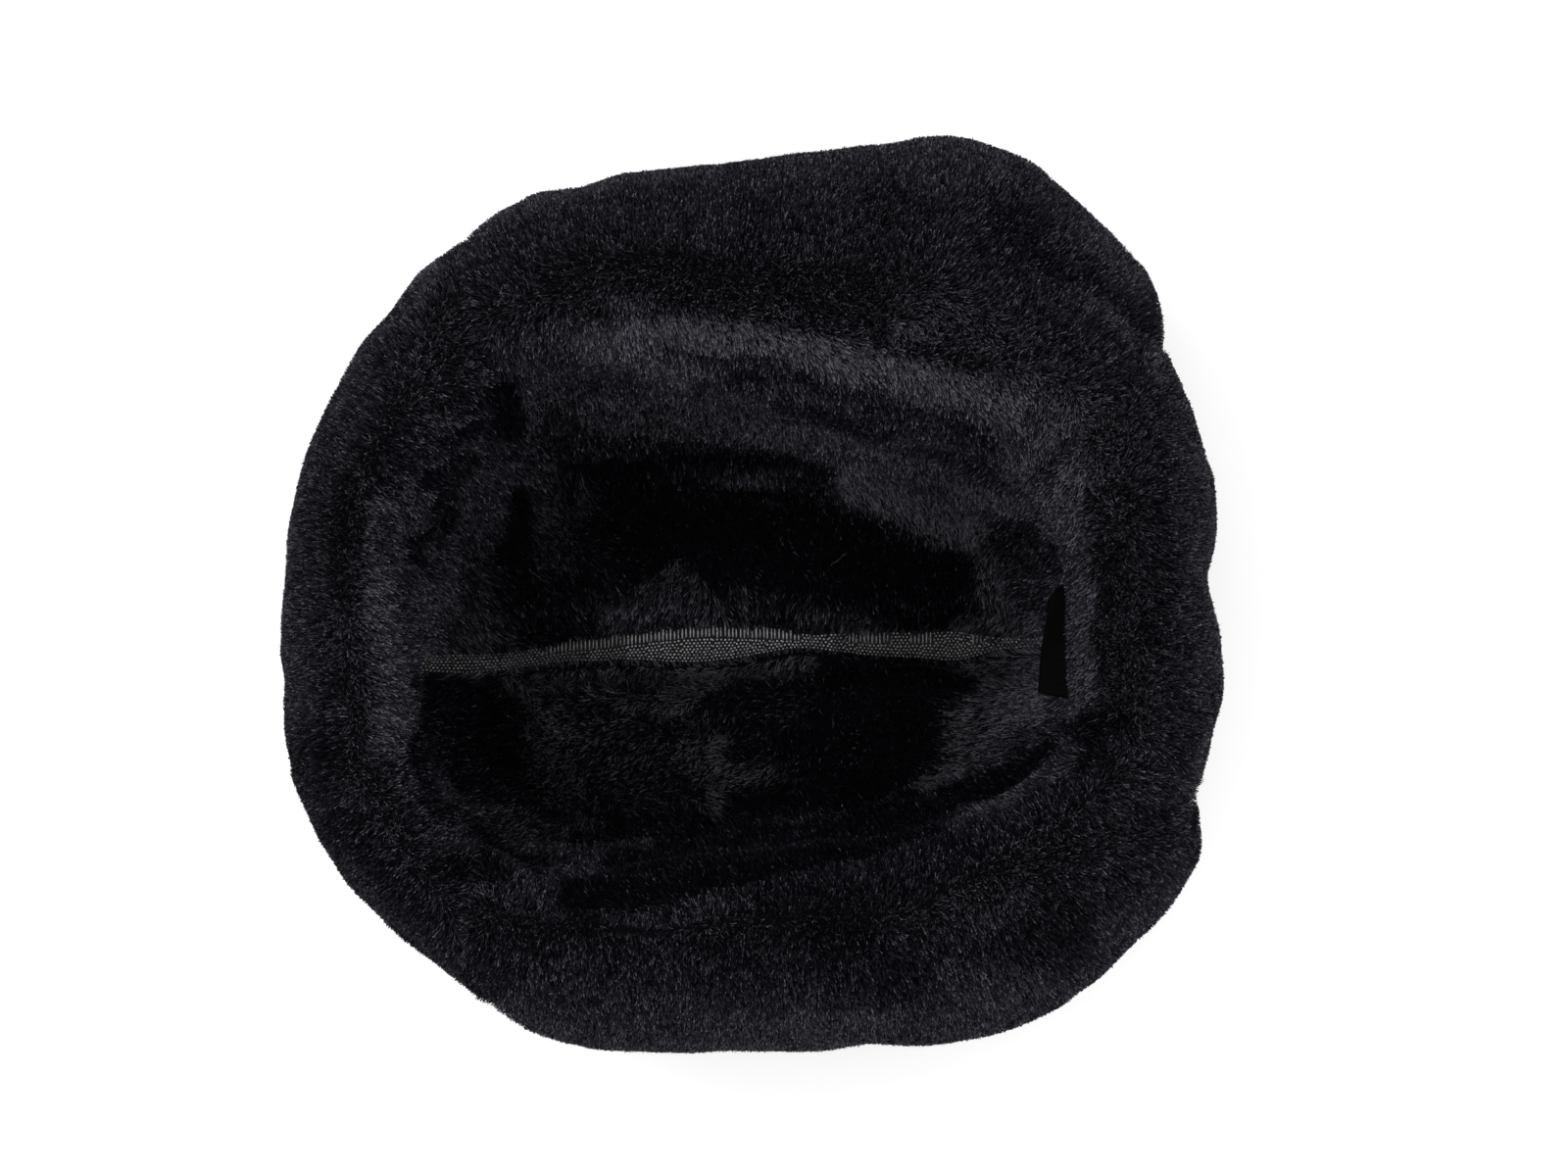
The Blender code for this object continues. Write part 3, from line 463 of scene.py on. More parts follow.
def sort_faces(node, bm):
    """Marks each face of a hide as WOOL, LEATHER, SIDE or SEAM: its cut edges are
    SEAM where it is sewn to the crown or a flap, and SIDE where flaps meet."""
    middle = Vector((SEAM_X, SEAM_Y, HOLLOW_HEIGHT)) * MM
    across = Vector((-math.sin(SEAM_TURN), math.cos(SEAM_TURN), 0))
    spans = {}
    for v in bm.verts:
        spans.setdefault(round(turn_of(v.co) / SPAN), []).append(radius_of(v.co))
    for face in bm.faces:
        face.smooth = True
        center = face.calc_center_median()
        level = abs(face.normal.z) > CUT_FACING
        level = level and abs(center.z - SEAM_HEIGHT * MM) < RIM_NEAR * MM
        if node.startswith("crown"):
            cut = abs(face.normal.dot(across)) > CUT_FACING
            cut = cut and abs(off_seam(center.x, center.y)) < SEAM_NEAR * MM
            inside = face.normal.dot(middle - center) > 0
            face.material_index = SEAM if cut or level else WOOL if inside else LEATHER
            continue
        turn = turn_of(center)
        radii = spans[min(spans, key=lambda key: abs(key - turn / SPAN))]
        fold = (min(radii) + max(radii)) / 2
        under = Vector((
            middle.x + fold * math.cos(turn),
            middle.y + fold * math.sin(turn),
            FOLD_HEIGHT * MM,
        ))
        tangent = Vector((-math.sin(turn), math.cos(turn), 0))
        if level:
            face.material_index = SEAM
        elif abs(face.normal.dot(tangent)) > CUT_FACING:
            face.material_index = SIDE
        elif face.normal.dot(under - center) < 0:
            face.material_index = WOOL
        else:
            face.material_index = LEATHER


def smoothed(bm, name):
    """The mesh once subdivided and rounded, with its sharp edges kept."""
    rough = bpy.data.meshes.new(name)
    crease = bm.edges.layers.float.get("crease_edge") or bm.edges.layers.float.new("crease_edge")
    for edge in bm.edges:
        edge[crease] = edge.calc_face_angle(0) > math.radians(SHARP_EDGE)
    bm.to_mesh(rough)
    holder = bpy.data.objects.new(name, rough)
    bpy.context.scene.collection.objects.link(holder)
    modifier = holder.modifiers.new("round", "SUBSURF")
    modifier.levels = 1
    modifier.render_levels = 1
    graph = bpy.context.evaluated_depsgraph_get()
    mesh = bpy.data.meshes.new_from_object(holder.evaluated_get(graph))
    bpy.data.objects.remove(holder)
    bpy.data.meshes.remove(rough)
    mesh.name = name
    return mesh


def press_pelt(node, bm):
    """Lowers the wool's faces to the pelt, and laps the crown's halves at their seam."""
    normals = {}
    for face in bm.faces:
        if face.material_index == WOOL:
            for loop in face.loops:
                normal = normals.get(loop.vert, Vector())
                normals[loop.vert] = normal + face.normal * loop.calc_angle()
    for vert, normal in normals.items():
        vert.co -= normal.normalized() * PELT_DEPTH * MM
        vert.co.z = max(vert.co.z, LEAST_HIDE * MM)
    if node.startswith("crown"):
        for vert in bm.verts:
            off = off_seam(vert.co.x, vert.co.y)
            if abs(off) < SEAM_NEAR * MM:
                vert.co.y += SEAM_LAP * MM * (-1 if node == "crown_left" else 1)


def add_piece(name, mesh, materials, slot, *nodes):
    """A piece of the hat from its mesh, riding on the body."""
    for material in materials:
        mesh.materials.append(material)
    piece = bpy.data.objects.new(name, mesh)
    bpy.context.scene.collection.objects.link(piece)
    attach(piece, "root")
    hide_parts(*nodes)
    return piece


def triangles_of(mesh):
    """Corners, corner normals and areas of the triangles of a mesh with wool."""
    mesh.calc_loop_triangles()
    count = len(mesh.loop_triangles)
    corners = np.zeros(count * 3, np.int32)
    mesh.loop_triangles.foreach_get("vertices", corners)
    polygons = np.zeros(count, np.int32)
    mesh.loop_triangles.foreach_get("polygon_index", polygons)
    kinds = np.zeros(len(mesh.polygons), np.int32)
    mesh.polygons.foreach_get("material_index", kinds)
    places = np.zeros(len(mesh.vertices) * 3)
    mesh.vertices.foreach_get("co", places)
    places = places.reshape(-1, 3)
    corners = corners.reshape(-1, 3)
    kinds = kinds[polygons]
    a, b, c = (places[corners[:, k]] for k in range(3))
    faces = np.cross(b - a, c - a)
    normals = np.zeros_like(places)
    grown = (kinds == WOOL) | (kinds == SIDE)
    for k in range(3):
        np.add.at(normals, corners[grown, k], faces[grown])
    wool = corners[grown]
    areas = np.linalg.norm(faces[grown], axis=1) / 2
    return places[wool], unit(normals)[wool], areas


def scatter(mesh, count, rng):
    """Points and normals spread evenly over a mesh's wool."""
    corners, normals, areas = triangles_of(mesh)
    total = np.cumsum(areas)
    picks = (np.arange(count) + rng.uniform(0, 1, count)) / count * total[-1]
    chosen = np.minimum(np.searchsorted(total, picks), len(areas) - 1)
    u, v = rng.uniform(0, 1, (2, count))
    flip = u + v > 1
    u = np.where(flip, 1 - u, u)
    v = np.where(flip, 1 - v, v)
    weights = np.stack((1 - u - v, u, v), axis=1)[:, :, None]
    return (corners[chosen] * weights).sum(1), unit((normals[chosen] * weights).sum(1))


def way_of(angle):
    """Level direction at an angle in plan."""
    turn = math.radians(angle)
    return np.array((math.cos(turn), math.sin(turn), 0))


def wool_field(node, places, normals):
    """Combed direction, lean in degrees, tone with painted light and shade, and rise of the wool
    at each place.
    """
    plan = places[:, :2] / MM
    out = unit(plan - np.array((SEAM_X, SEAM_Y)))
    height = places[:, 2] / MM - SEAM_HEIGHT
    if node.startswith("crown"):
        share = 0.5 * smooth_step(-SEAM_BLEND, 0, height)
    else:
        outer = smooth_step(*OUT_FACING, (normals[:, :2] * out).sum(1))
        share = np.maximum(0.5 + 0.5 * smooth_step(0, SEAM_BLEND, height), outer)
    share = share[:, None]
    comb = np.column_stack((out * (share - 1), np.full(len(out), -COMB_DOWN)))
    low, high = (
        np.array((base.lean, base.tone, base.rise), float) for base in (CROWN_BASE, FLAP_BASE)
    )
    values = low + share * (high - low)
    strayed = plan + WANDER[0] * cloud(places, WANDER[1] * MM, WANDER_SEED, 2)
    # each stroke's tone carries painted shade and painted sheen as well as the wool's own tone
    for stroke in STROKES:
        reach = path_distance(stroke.path, strayed) / stroke.half_width
        weight = 1 - smooth_step(*STROKE_EDGE, reach)[:, None]
        comb += weight * (way_of(stroke.comb) - comb)
        values += weight * (np.array((stroke.lean, stroke.tone, stroke.rise)) - values)
    if node.startswith("crown"):
        off = np.abs(off_seam(places[:, 0], places[:, 1])) / MM
        values[:, 2] += TAPE_SIDE_RISE * (1 - smooth_step(*TAPE_SIDE, off))
        gap, back = beside_tape(places)
        weight = 1 - smooth_step(*TAPE_WOOL, gap)
        comb += weight[:, None] * (np.column_stack((0 * back, back, 0 * back)) - comb)
        values[:, 0] += weight * (TAPE_WOOL_LEAN - values[:, 0])
        # painted light on the wool beside the tape, against the tape's shadow
        values[:, 1] += weight * TAPE_WOOL_PAINTED_LIGHT
    else:
        # painted light on the wool that faces up on the flaps
        values[:, 1] += CREST_PAINTED_LIGHT * smooth_step(*CREST_PAINTED_LIGHT_FACING, normals[:, 2])
    return comb, *values.T


def beside_tape(places):
    """Distance in plan of each place from the tape's nearer side in millimetres,
    negative under the tape, and the sign of the way back to it in y."""
    line = tape_sections()[0]
    middle, half = (np.interp(places[:, 0], line[:, 0], line[:, k]) for k in (2, 3))
    off = places[:, 1] - middle
    return (np.abs(off) - half) / MM, -np.sign(off)


def wool_mesh(node, surface, count, seed):
    """All strands of one hide as a joined mesh of blades, one triangle each."""
    rng = np.random.default_rng(seed)
    places, normals = scatter(surface, count, rng)
    if node.startswith("crown"):
        clear = beside_tape(places)[0] > -TAPE_LAP
        places, normals = places[clear], normals[clear]
    count = len(places)
    comb, lean, tone, rise = wool_field(node, places, normals)
    drift = cloud(places, DRIFT * MM, seed + 1, 4)
    tuft = cloud(places, TUFT * MM, seed + 2, 4)
    speck = cloud(places, np.array(SPECK) * MM, seed + 3, 1)[:, 0]
    comb = unit(comb) + DRIFT_TURN * drift[:, :3]
    comb -= (comb * normals).sum(1, keepdims=True) * normals
    pull = smooth_step(*COMBED, np.linalg.norm(comb, axis=1))
    lean = np.radians(np.clip((lean + DRIFT_LEAN * drift[:, 3]) * pull, *LEAN_RANGE))
    ahead = normals * np.cos(lean)[:, None] + unit(comb) * np.sin(lean)[:, None]
    loose = STRAND_LEAN + UPRIGHT_LEAN * (1 - pull[:, None])
    ahead = unit(ahead + TUFT_LEAN * tuft[:, :3] + loose * rng.normal(0, 1, (count, 3)))
    rising = np.maximum((ahead * normals).sum(1), LEAST_RISING)
    length = (STRAND_LENGTH + np.maximum(rise, 0)) * MM * rng.uniform(*LENGTH_SPREAD, count)
    height = (STRAND_HEIGHT + rise + UNEVEN_ENDS * rng.normal(0, 1, count)) * MM
    depth = np.clip(length * rising - height, LEAST_ROOT * MM, None)
    room = (places[:, 2] - LEAST_HIDE * MM) / np.maximum(normals[:, 2], LEVEL_FACING)
    level = normals[:, 2] > LEVEL_FACING
    depth = np.where(level, np.minimum(depth, np.maximum(room, 0)), depth)
    roots = places - normals * depth[:, None]
    ends = roots + ahead * length[:, None]
    aside = np.cross(ahead, normals) + BLADE_TURN * rng.normal(0, 1, (count, 3))
    aside -= (aside * ahead).sum(1, keepdims=True) * ahead
    aside = unit(aside) * (STRAND_WIDTH * MM / 2 * rng.uniform(*WIDTH_SPREAD, count))[:, None]
    blunt = rng.uniform(0, 1, count) < BLUNT
    point = np.where(blunt[:, None], roots, ends)
    wide = np.where(blunt[:, None], ends, roots)
    corners = np.stack((wide - aside, wide + aside, point), axis=1).reshape(-1, 3)
    corners[:, 2] = np.maximum(corners[:, 2], FLOOR_CLEAR * MM)
    # painted light where the wool stands straight
    tone = tone + UPRIGHT_PAINTED_LIGHT * (1 - pull)
    shade = tone * (len(TONES) - 1) + TONE_SPREAD * rng.normal(0, 1, count)
    shade += TUFT_TONE * tuft[:, 3] + SPECK_TONE * speck
    index = np.clip(np.round(shade), 0, len(TONES) - 1).astype(np.int32)
    return blade_mesh(node + "_wool", corners, index)


def blade_mesh(name, corners, index):
    """Mesh of loose triangles with these corners and materials."""
    count = len(index)
    mesh = bpy.data.meshes.new(name)
    mesh.vertices.add(3 * count)
    mesh.vertices.foreach_set("co", corners.astype(np.float32).ravel())
    mesh.loops.add(3 * count)
    mesh.loops.foreach_set("vertex_index", np.arange(3 * count, dtype=np.int32))
    mesh.polygons.add(count)
    mesh.polygons.foreach_set("loop_start", np.arange(0, 3 * count, 3, dtype=np.int32))
    mesh.polygons.foreach_set("material_index", index)
    mesh.update()
    return mesh


def solid_of(*nodes):
    """CAD nodes as one surface that rays can hit."""
    places = []
    faces = []
    for node in nodes:
        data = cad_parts[node].data
        first = len(places)
        places += [v.co.copy() for v in data.vertices]
        faces += [tuple(first + v for v in p.vertices) for p in data.polygons]
    return BVHTree.FromPolygons(places, faces)


def span_of(hit, offsets):
    """First and last offset at which a ray hits, refined, or None."""
    found = [off for off in offsets if hit(off) is not None]
    if not found:
        return None
    ends = []
    step = offsets[1] - offsets[0]
    for inside, outside in ((found[0], found[0] - step), (found[-1], found[-1] + step)):
        for _ in range(SPAN_HALVINGS):
            middle = (inside + outside) / 2
            if hit(middle) is None:
                outside = middle
            else:
                inside = middle
        ends.append(inside)
    return ends


@functools.cache
def tape_sections():
    """Sections of the tape from its CAD solid, (x, z, middle in y, half width), and
    their normals in x and z."""
    solid = solid_of("seam_tape")
    pole = Vector((SEAM_X, SEAM_Y, TAPE_POLE)) * MM
    offsets = np.arange(-TAPE_REACH, TAPE_REACH, TAPE_LOOK) * MM
    found = []
    for turn in np.linspace(math.pi - TAPE_ENDS, TAPE_ENDS, TAPE_RAYS):
        ray = Vector((math.cos(turn), 0, -math.sin(turn)))

        def hit(off):
            return solid.ray_cast(pole + Vector((0, off, 0)), ray)[0]

        span = span_of(hit, offsets)
        if span:
            middle = sum(span) / 2
            place = hit(middle)
            found.append((place.x, place.z, SEAM_Y * MM + middle, (span[1] - span[0]) / 2))
    line = np.array(found)
    steps = np.linalg.norm(np.diff(line[:, :2], axis=0), axis=1)
    run = np.concatenate(([0], np.cumsum(steps)))
    even = np.linspace(0, run[-1], round(run[-1] / (TAPE_STEP * MM)) + 1)
    line = np.column_stack([np.interp(even, run, column) for column in line.T])
    kernel = np.hanning(TAPE_SOFTNESS)
    padded = np.pad(line, ((TAPE_SOFTNESS // 2,) * 2, (0, 0)), mode="reflect", reflect_type="odd")
    line = np.column_stack([
        np.convolve(column, kernel / kernel.sum(), "valid") for column in padded.T
    ])
    slope = unit(np.gradient(line[:, :2], axis=0))
    return line, np.column_stack((-slope[:, 1], slope[:, 0]))


def tape_point(line, normals, along, across, lift):
    """Point of the tape: along it in steps, across it in half widths, lift in metres."""
    i = min(max(along, 0), len(line) - 1.001)
    low = int(i)
    part = i - low
    x, z, y, half = line[low] * (1 - part) + line[low + 1] * part
    nx, nz = normals[low] * (1 - part) + normals[low + 1] * part
    lift -= TAPE_EDGE_DROP * MM * across ** 4
    return Vector((x + nx * lift, y + across * half, z + nz * lift))


def tape_band():
    """The tape's thin band, and its flat size and area in metres."""
    line, normals = tape_sections()
    bm = bmesh.new()
    rows = []
    for along in range(len(line)):
        top = [
            bm.verts.new(tape_point(line, normals, along, across, BAND_TOP * MM))
            for across in np.linspace(1, -1, BAND_COLUMNS)
        ]
        under = [
            bm.verts.new(tape_point(line, normals, along, across, BAND_UNDER * MM))
            for across in (-1, 1)
        ]
        rows.append(top + under)
    for one, two in zip(rows, rows[1:]):
        for i in range(len(one)):
            k = (i + 1) % len(one)
            bm.faces.new((one[i], one[k], two[k], two[i]))
    bm.faces.new(rows[0])
    bm.faces.new(rows[-1])
    steps = np.linalg.norm(np.diff(line[:, :2], axis=0), axis=1)
    area = float((steps * (line[1:, 3] + line[:-1, 3])).sum())
    return finished(bm, "seam_tape_band"), (2 * float(line[:, 3].max()), float(steps.sum())), area


def tape_stitches():
    """The tape's knitted stitches, raised on its band."""
    line, normals = tape_sections()
    rng = np.random.default_rng(STITCH_SEED)
    bm = bmesh.new()
    across_plan = line[:, 0] - line[0, 0]
    for x in np.arange(0.5 * STITCH * MM, across_plan[-1], STITCH * MM):
        along, later = np.interp((x, x + STITCH * MM), across_plan, np.arange(len(line)))
        pitch = max(later - along, STITCH / TAPE_STEP)
        place = line[round(along)]
        half = place[3]
        tone, grown = next(looks for end, *looks in TAPE_STRETCHES if place[0] < end * MM)
        faded = min(tone + TAPE_FADE, len(TAPE_TONES) - 1)
        wide = grown * pitch * TAPE_STEP / STITCH * MM
        start = 1
        if any(first < place[0] / MM < last for first, last in RIBS):
            start -= min(RIB_TALL * MM / half, 1)
            end = 1 + rng.normal(0, TAPE_FRAY) * MM / half
            size = ((end - start) * half / 2, RIB_WIDE * wide)
            add_stitch(bm, line, normals, (along, (end + start) / 2), size, faded, rng)
        count = max(round((start + 1) * half / (STITCH_ROW * MM)), 1)
        for row in range(count):
            spot = (along + 0.5 * pitch * (row % 2), -1 + (start + 1) * (row + 0.5) / count)
            size = (grown * STITCH_TALL * MM, STITCH_WIDE * wide)
            add_stitch(bm, line, normals, spot, size, tone if row else faded, rng)
    return finished(bm, "seam_tape_knit")


def finished(bm, name):
    """The mesh, smooth and with its faces turned out."""
    bmesh.ops.recalc_face_normals(bm, faces=bm.faces)
    for face in bm.faces:
        face.smooth = True
    mesh = bpy.data.meshes.new(name)
    bm.to_mesh(mesh)
    bm.free()
    return mesh


def add_stitch(bm, line, normals, place, size, tone, rng):
    """One raised stitch on the tape, an oval bump at (along, across)."""
    tall, wide = size
    along = place[0] + rng.normal(0, STITCH_STRAY[0])
    nearest = min(max(round(along), 0), len(line) - 1)
    half = line[nearest][3]
    level = abs(normals[nearest][1])
    across = place[1] + rng.normal(0, STITCH_STRAY[1] * MM) / half
    grown = rng.uniform(*STITCH_SPREAD)
    rings = []
    for share, lift in STITCH_RINGS:
        lift = STITCH_FOOT + level * (lift - STITCH_FOOT)
        ring = []
        for k in range(STITCH_SIDES):
            turn = math.tau * k / STITCH_SIDES
            step = along + grown * share * wide * math.cos(turn) / (TAPE_STEP * MM)
            side = across + grown * share * tall * math.sin(turn) / half
            ring.append(bm.verts.new(tape_point(line, normals, step, side, lift * MM)))
        rings.append(ring)
    for one, two in zip(rings, rings[1:]):
        for k in range(STITCH_SIDES):
            face = bm.faces.new((one[k], one[k - 1], two[k - 1], two[k]))
            face.material_index = tone
    cap = bm.faces.new(rings[-1])
    cap.material_index = tone


def fall_on(surface, x, y):
    """Where something that falls at x and y meets the surface, or None."""
    return surface.ray_cast(Vector((x, y, FALL_FROM)), Vector((0, 0, -1)))[0]


def label_mesh():
    """The folded satin strip, laid where its CAD solid lies."""
    solid = solid_of("label")
    lengths = [v.co.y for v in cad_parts["label"].data.vertices]
    looks = np.arange(*LABEL_X, LABEL_LOOK) * MM
    bm = bmesh.new()
    rows = []
    for v in np.linspace(*LABEL_SPAN, LABEL_ROWS):
        y = min(lengths) + (max(lengths) - min(lengths)) * v
        found = [fall_on(solid, x, y) for x in looks]
        top = [hit for hit in found if hit]
        fold = top[int(len(top) * LABEL_SLOPE_FROM)]
        root = top[-1]
        ahead = (root - fold).normalized()
        above = Vector((-ahead.z, 0, ahead.x))
        wide = (root.x - top[0].x) / ahead.x
        row = []
        for u in np.linspace(0, 1, LABEL_COLUMNS):
            across, lift = label_profile(u * LABEL_TURN)
            wave = math.sin(LABEL_WAVES[0] * v + LABEL_WAVES[1] * u)
            pucker = LABEL_PUCKER * MM * wave * (1 - abs(2 * v - 1))
            lift = pucker - LABEL_UNDER * MM * (1 - lift)
            row.append(bm.verts.new(root - ahead * wide * (1 - across) + above * lift))
        rows.append(row)
    for one, two in zip(rows, rows[1:]):
        for i in range(len(one) - 1):
            bm.faces.new((one[i], one[i + 1], two[i + 1], two[i])).smooth = True
    mesh = bpy.data.meshes.new("label_strip")
    bm.to_mesh(mesh)
    bm.free()
    return mesh


def label_profile(turn):
    """Across and lift, 0 to 1, of the strip's section: down one layer, back on the other."""
    if turn < 1:
        return 1 - turn, 1.0
    if turn < LABEL_TURN - 1:
        bend = (turn - 1) / (LABEL_TURN - 2) * math.pi
        return -LABEL_BULGE * math.sin(bend), 0.5 + 0.5 * math.cos(bend)
    return turn - (LABEL_TURN - 1), 0.0


def hair_mesh(surface):
    """Loose hairs, curled and lying on whatever is under them."""
    bm = bmesh.new()
    rng = np.random.default_rng(HAIR_SEED)
    for hair in LOOSE_HAIRS:
        turn = math.radians(hair.turn)
        place = Vector((hair.x, hair.y, 0)) * MM
        points = []
        for k in range(HAIR_STEPS):
            step = hair.length * MM / HAIR_STEPS
            turn += hair.curl * math.cos(k * HAIR_WAVE + hair.x) * HAIR_BEND
            turn += rng.normal(0, HAIR_STRAY)
            place = place + Vector((math.cos(turn), math.sin(turn), 0)) * step
            hit = fall_on(surface, place.x, place.y)
            points.append(Vector((place.x, place.y, hit.z + HAIR_LIFT * MM if hit else place.z)))
        rings = []
        for k, point in enumerate(points):
            ahead = (points[min(k + 1, HAIR_STEPS - 1)] - points[max(k - 1, 0)]).normalized()
            aside = ahead.cross(Vector((0, 0, 1))).normalized()
            above = aside.cross(ahead)
            size = HAIR_THICKNESS * MM * (1 - HAIR_TAPER * k / HAIR_STEPS)
            rings.append([
                bm.verts.new(point + size * (math.cos(a) * aside + math.sin(a) * above))
                for a in HAIR_CORNERS
            ])
        for one, two in zip(rings, rings[1:]):
            for k in range(3):
                bm.faces.new((one[k], one[k - 1], two[k - 1], two[k]))
        bm.faces.new(rings[0])
        bm.faces.new(reversed(rings[-1]))
    mesh = bpy.data.meshes.new("loose_hairs")
    bm.to_mesh(mesh)
    bm.free()
    return mesh


def new_material(name, color, roughness):
    """Principled material with its nodes, links and shader."""
    material = bpy.data.materials.new(name)
    material.use_nodes = True
    tree = material.node_tree
    shader = tree.nodes["Principled BSDF"]
    shader.inputs["Base Color"].default_value = (*color, 1)
    shader.inputs["Roughness"].default_value = roughness
    return material, tree, shader


def noise_node(tree, scale, detail):
    """Noise over the hat's own coordinates."""
    place = tree.nodes.new("ShaderNodeTexCoord")
    noise = tree.nodes.new("ShaderNodeTexNoise")
    noise.inputs["Scale"].default_value = scale
    noise.inputs["Detail"].default_value = detail
    tree.links.new(place.outputs["Object"], noise.inputs["Vector"])
    return noise


def ranged(tree, socket, low, high):
    """A value from 0 to 1 brought between low and high."""
    ranger = tree.nodes.new("ShaderNodeMapRange")
    ranger.inputs["To Min"].default_value = low
    ranger.inputs["To Max"].default_value = high
    tree.links.new(socket, ranger.inputs["Value"])
    return ranger.outputs["Result"]


def strand_material(name, tone):
    """Wool fibre: dull, with a soft sheen."""
    material, tree, shader = new_material(name, tone.color, 0.5)
    noise = noise_node(tree, 900, 2)
    tree.links.new(ranged(tree, noise.outputs["Fac"], 0.42, 0.7), shader.inputs["Roughness"])
    shader.inputs["Specular IOR Level"].default_value = tone.sheen
    shader.inputs["Specular Tint"].default_value = (*SHEEN_TINT, 1)
    return material


def pelt_material():
    """The dense wool deep between the strands."""
    material, tree, shader = new_material("pelt", (0.0022, 0.0022, 0.0036), 0.9)
    noise = noise_node(tree, 1500, 3)
    bump = tree.nodes.new("ShaderNodeBump")
    bump.inputs["Distance"].default_value = 0.6 * MM
    tree.links.new(noise.outputs["Fac"], bump.inputs["Height"])
    tree.links.new(bump.outputs["Normal"], shader.inputs["Normal"])
    tree.links.new(ranged(tree, noise.outputs["Fac"], 0.8, 1.0), shader.inputs["Roughness"])
    shader.inputs["Specular IOR Level"].default_value = 0.05
    return material


def leather_material():
    """Black sheep leather with a fine pebbled grain."""
    material, tree, shader = new_material("leather", (0.012, 0.011, 0.011), 0.5)
    place = tree.nodes.new("ShaderNodeTexCoord")
    cells = tree.nodes.new("ShaderNodeTexVoronoi")
    cells.inputs["Scale"].default_value = 900
    tree.links.new(place.outputs["Object"], cells.inputs["Vector"])
    noise = noise_node(tree, 240, 4)
    height = tree.nodes.new("ShaderNodeMath")
    height.operation = "MULTIPLY"
    tree.links.new(cells.outputs["Distance"], height.inputs[0])
    tree.links.new(noise.outputs["Fac"], height.inputs[1])
    bump = tree.nodes.new("ShaderNodeBump")
    bump.inputs["Distance"].default_value = 0.35 * MM
    tree.links.new(height.outputs["Value"], bump.inputs["Height"])
    tree.links.new(bump.outputs["Normal"], shader.inputs["Normal"])
    tree.links.new(ranged(tree, noise.outputs["Fac"], 0.4, 0.62), shader.inputs["Roughness"])
    shader.inputs["Specular IOR Level"].default_value = 0.3
    return material


def knit_material(name, color):
    """Dull cotton yarn."""
    material, tree, shader = new_material(name, color, 0.8)
    noise = noise_node(tree, 2600, 2)
    bump = tree.nodes.new("ShaderNodeBump")
    bump.inputs["Distance"].default_value = 0.12 * MM
    tree.links.new(noise.outputs["Fac"], bump.inputs["Height"])
    tree.links.new(bump.outputs["Normal"], shader.inputs["Normal"])
    tree.links.new(ranged(tree, noise.outputs["Fac"], 0.7, 0.95), shader.inputs["Roughness"])
    shader.inputs["Specular IOR Level"].default_value = 0.2
    return material


def satin_material():
    """Black satin ribbon with its fine cross weave."""
    material, tree, shader = new_material("satin", (0.0012, 0.0012, 0.0014), 0.35)
    shader.inputs["Specular IOR Level"].default_value = 0.01
    place = tree.nodes.new("ShaderNodeTexCoord")
    weave = tree.nodes.new("ShaderNodeTexWave")
    weave.bands_direction = "Y"
    weave.inputs["Scale"].default_value = 700
    weave.inputs["Distortion"].default_value = 0.6
    tree.links.new(place.outputs["Object"], weave.inputs["Vector"])
    bump = tree.nodes.new("ShaderNodeBump")
    bump.inputs["Distance"].default_value = 0.03 * MM
    tree.links.new(weave.outputs["Fac"], bump.inputs["Height"])
    tree.links.new(bump.outputs["Normal"], shader.inputs["Normal"])
    noise = noise_node(tree, 300, 2)
    tree.links.new(ranged(tree, noise.outputs["Fac"], 0.28, 0.45), shader.inputs["Roughness"])
    return material


def dress_hide(node, number, tones, pelt, leather):
    """The hide and the wool of one piece of sheepskin."""
    bm = control_mesh(node)
    sort_faces(node, bm)
    surface = smoothed(bm, node + "_surface")
    strands = wool_mesh(node, surface, STRANDS[node], 100 * number)
    press_pelt(node, bm)
    hide = smoothed(bm, node + "_hide")
    bm.free()
    bpy.data.meshes.remove(surface)
    add_piece(node + "_hide", hide, [pelt, leather, pelt, pelt], "black_leather", node)
    add_piece(node + "_wool", strands, tones, "shorn_wool", node)


def make_camera():
    """Long lens straight above the hat."""
    data = bpy.data.cameras.new("camera")
    data.sensor_width = SENSOR
    data.lens = SENSOR * (CAMERA_HEIGHT - RIM_HEIGHT) / VIEW_WIDTH
    data.clip_end = 2 * CAMERA_HEIGHT
    camera = bpy.data.objects.new("camera", data)
    camera.location = (*VIEW_MIDDLE, CAMERA_HEIGHT)
    bpy.context.scene.collection.objects.link(camera)
    bpy.context.scene.camera = camera


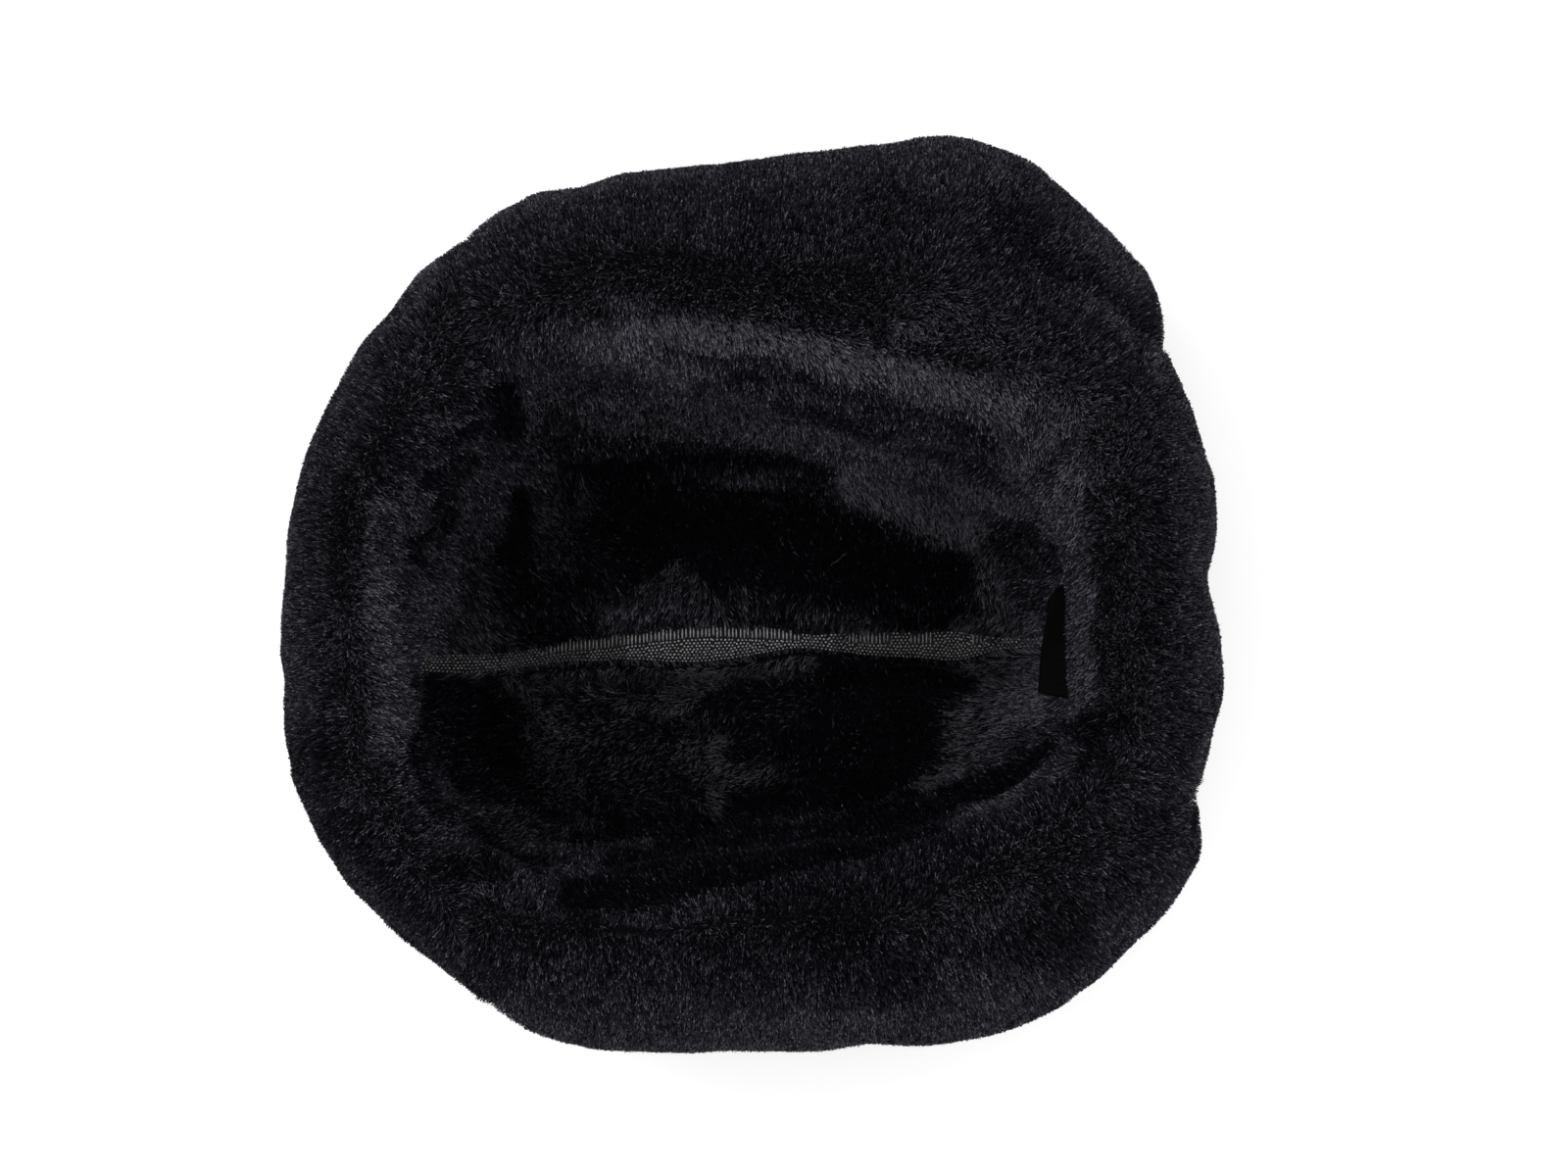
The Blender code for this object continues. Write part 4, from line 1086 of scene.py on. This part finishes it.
def make_light(name, place, size, power):
    """Soft square light aimed at the hat."""
    data = bpy.data.lights.new(name, "AREA")
    data.size = size
    data.energy = power
    light = bpy.data.objects.new(name, data)
    light.location = place
    light.rotation_euler = (-Vector(place)).to_track_quat("-Z", "Y").to_euler()
    bpy.context.scene.collection.objects.link(light)


def make_studio():
    """White floor, white surroundings and two soft lights."""
    material, tree, shader = new_material("floor", (0.86, 0.86, 0.86), 0.8)
    shader.inputs["Emission Color"].default_value = (1, 1, 1, 1)
    shader.inputs["Emission Strength"].default_value = 0.35
    noise = noise_node(tree, 3, 1)
    tree.links.new(ranged(tree, noise.outputs["Fac"], 0.75, 0.85), shader.inputs["Roughness"])
    bm = bmesh.new()
    bmesh.ops.create_grid(bm, x_segments=1, y_segments=1, size=4)
    mesh = bpy.data.meshes.new("floor")
    bm.to_mesh(mesh)
    bm.free()
    mesh.materials.append(material)
    floor = bpy.data.objects.new("floor", mesh)
    bpy.context.scene.collection.objects.link(floor)
    world = bpy.data.worlds.new("studio")
    world.use_nodes = True
    background = world.node_tree.nodes["Background"]
    background.inputs["Color"].default_value = (1, 1, 1, 1)
    background.inputs["Strength"].default_value = 0.9
    bpy.context.scene.world = world
    make_light("left light", (-1.2, 0.9, 1.6), size=1.2, power=18)
    make_light("right light", (1.3, -0.7, 1.5), size=1.2, power=10)
    bpy.context.scene.view_settings.view_transform = "Standard"


make_camera()
make_studio()
wool_tones = [strand_material(f"wool_{k}", tone) for k, tone in enumerate(TONES)]
knit = [knit_material(f"knit_{k}", tone) for k, tone in enumerate(TAPE_TONES)]
pelt = pelt_material()
leather = leather_material()
for number, node in enumerate(STRANDS):
    dress_hide(node, number + 1, wool_tones, pelt, leather)
band, flat, area = tape_band()
band = add_piece("seam_tape_band", band, knit[:1], "woven_tape", "seam_tape")
stitches = add_piece("seam_tape_knit", tape_stitches(), knit, "woven_tape", "seam_tape")
strip = add_piece("label_strip", label_mesh(), [satin_material()], "satin_ribbon", "label")
hairs = hair_mesh(solid_of(*STRANDS))
add_piece("loose_hairs", hairs, [strand_material("hair", HAIR_TONE)], "shorn_wool")
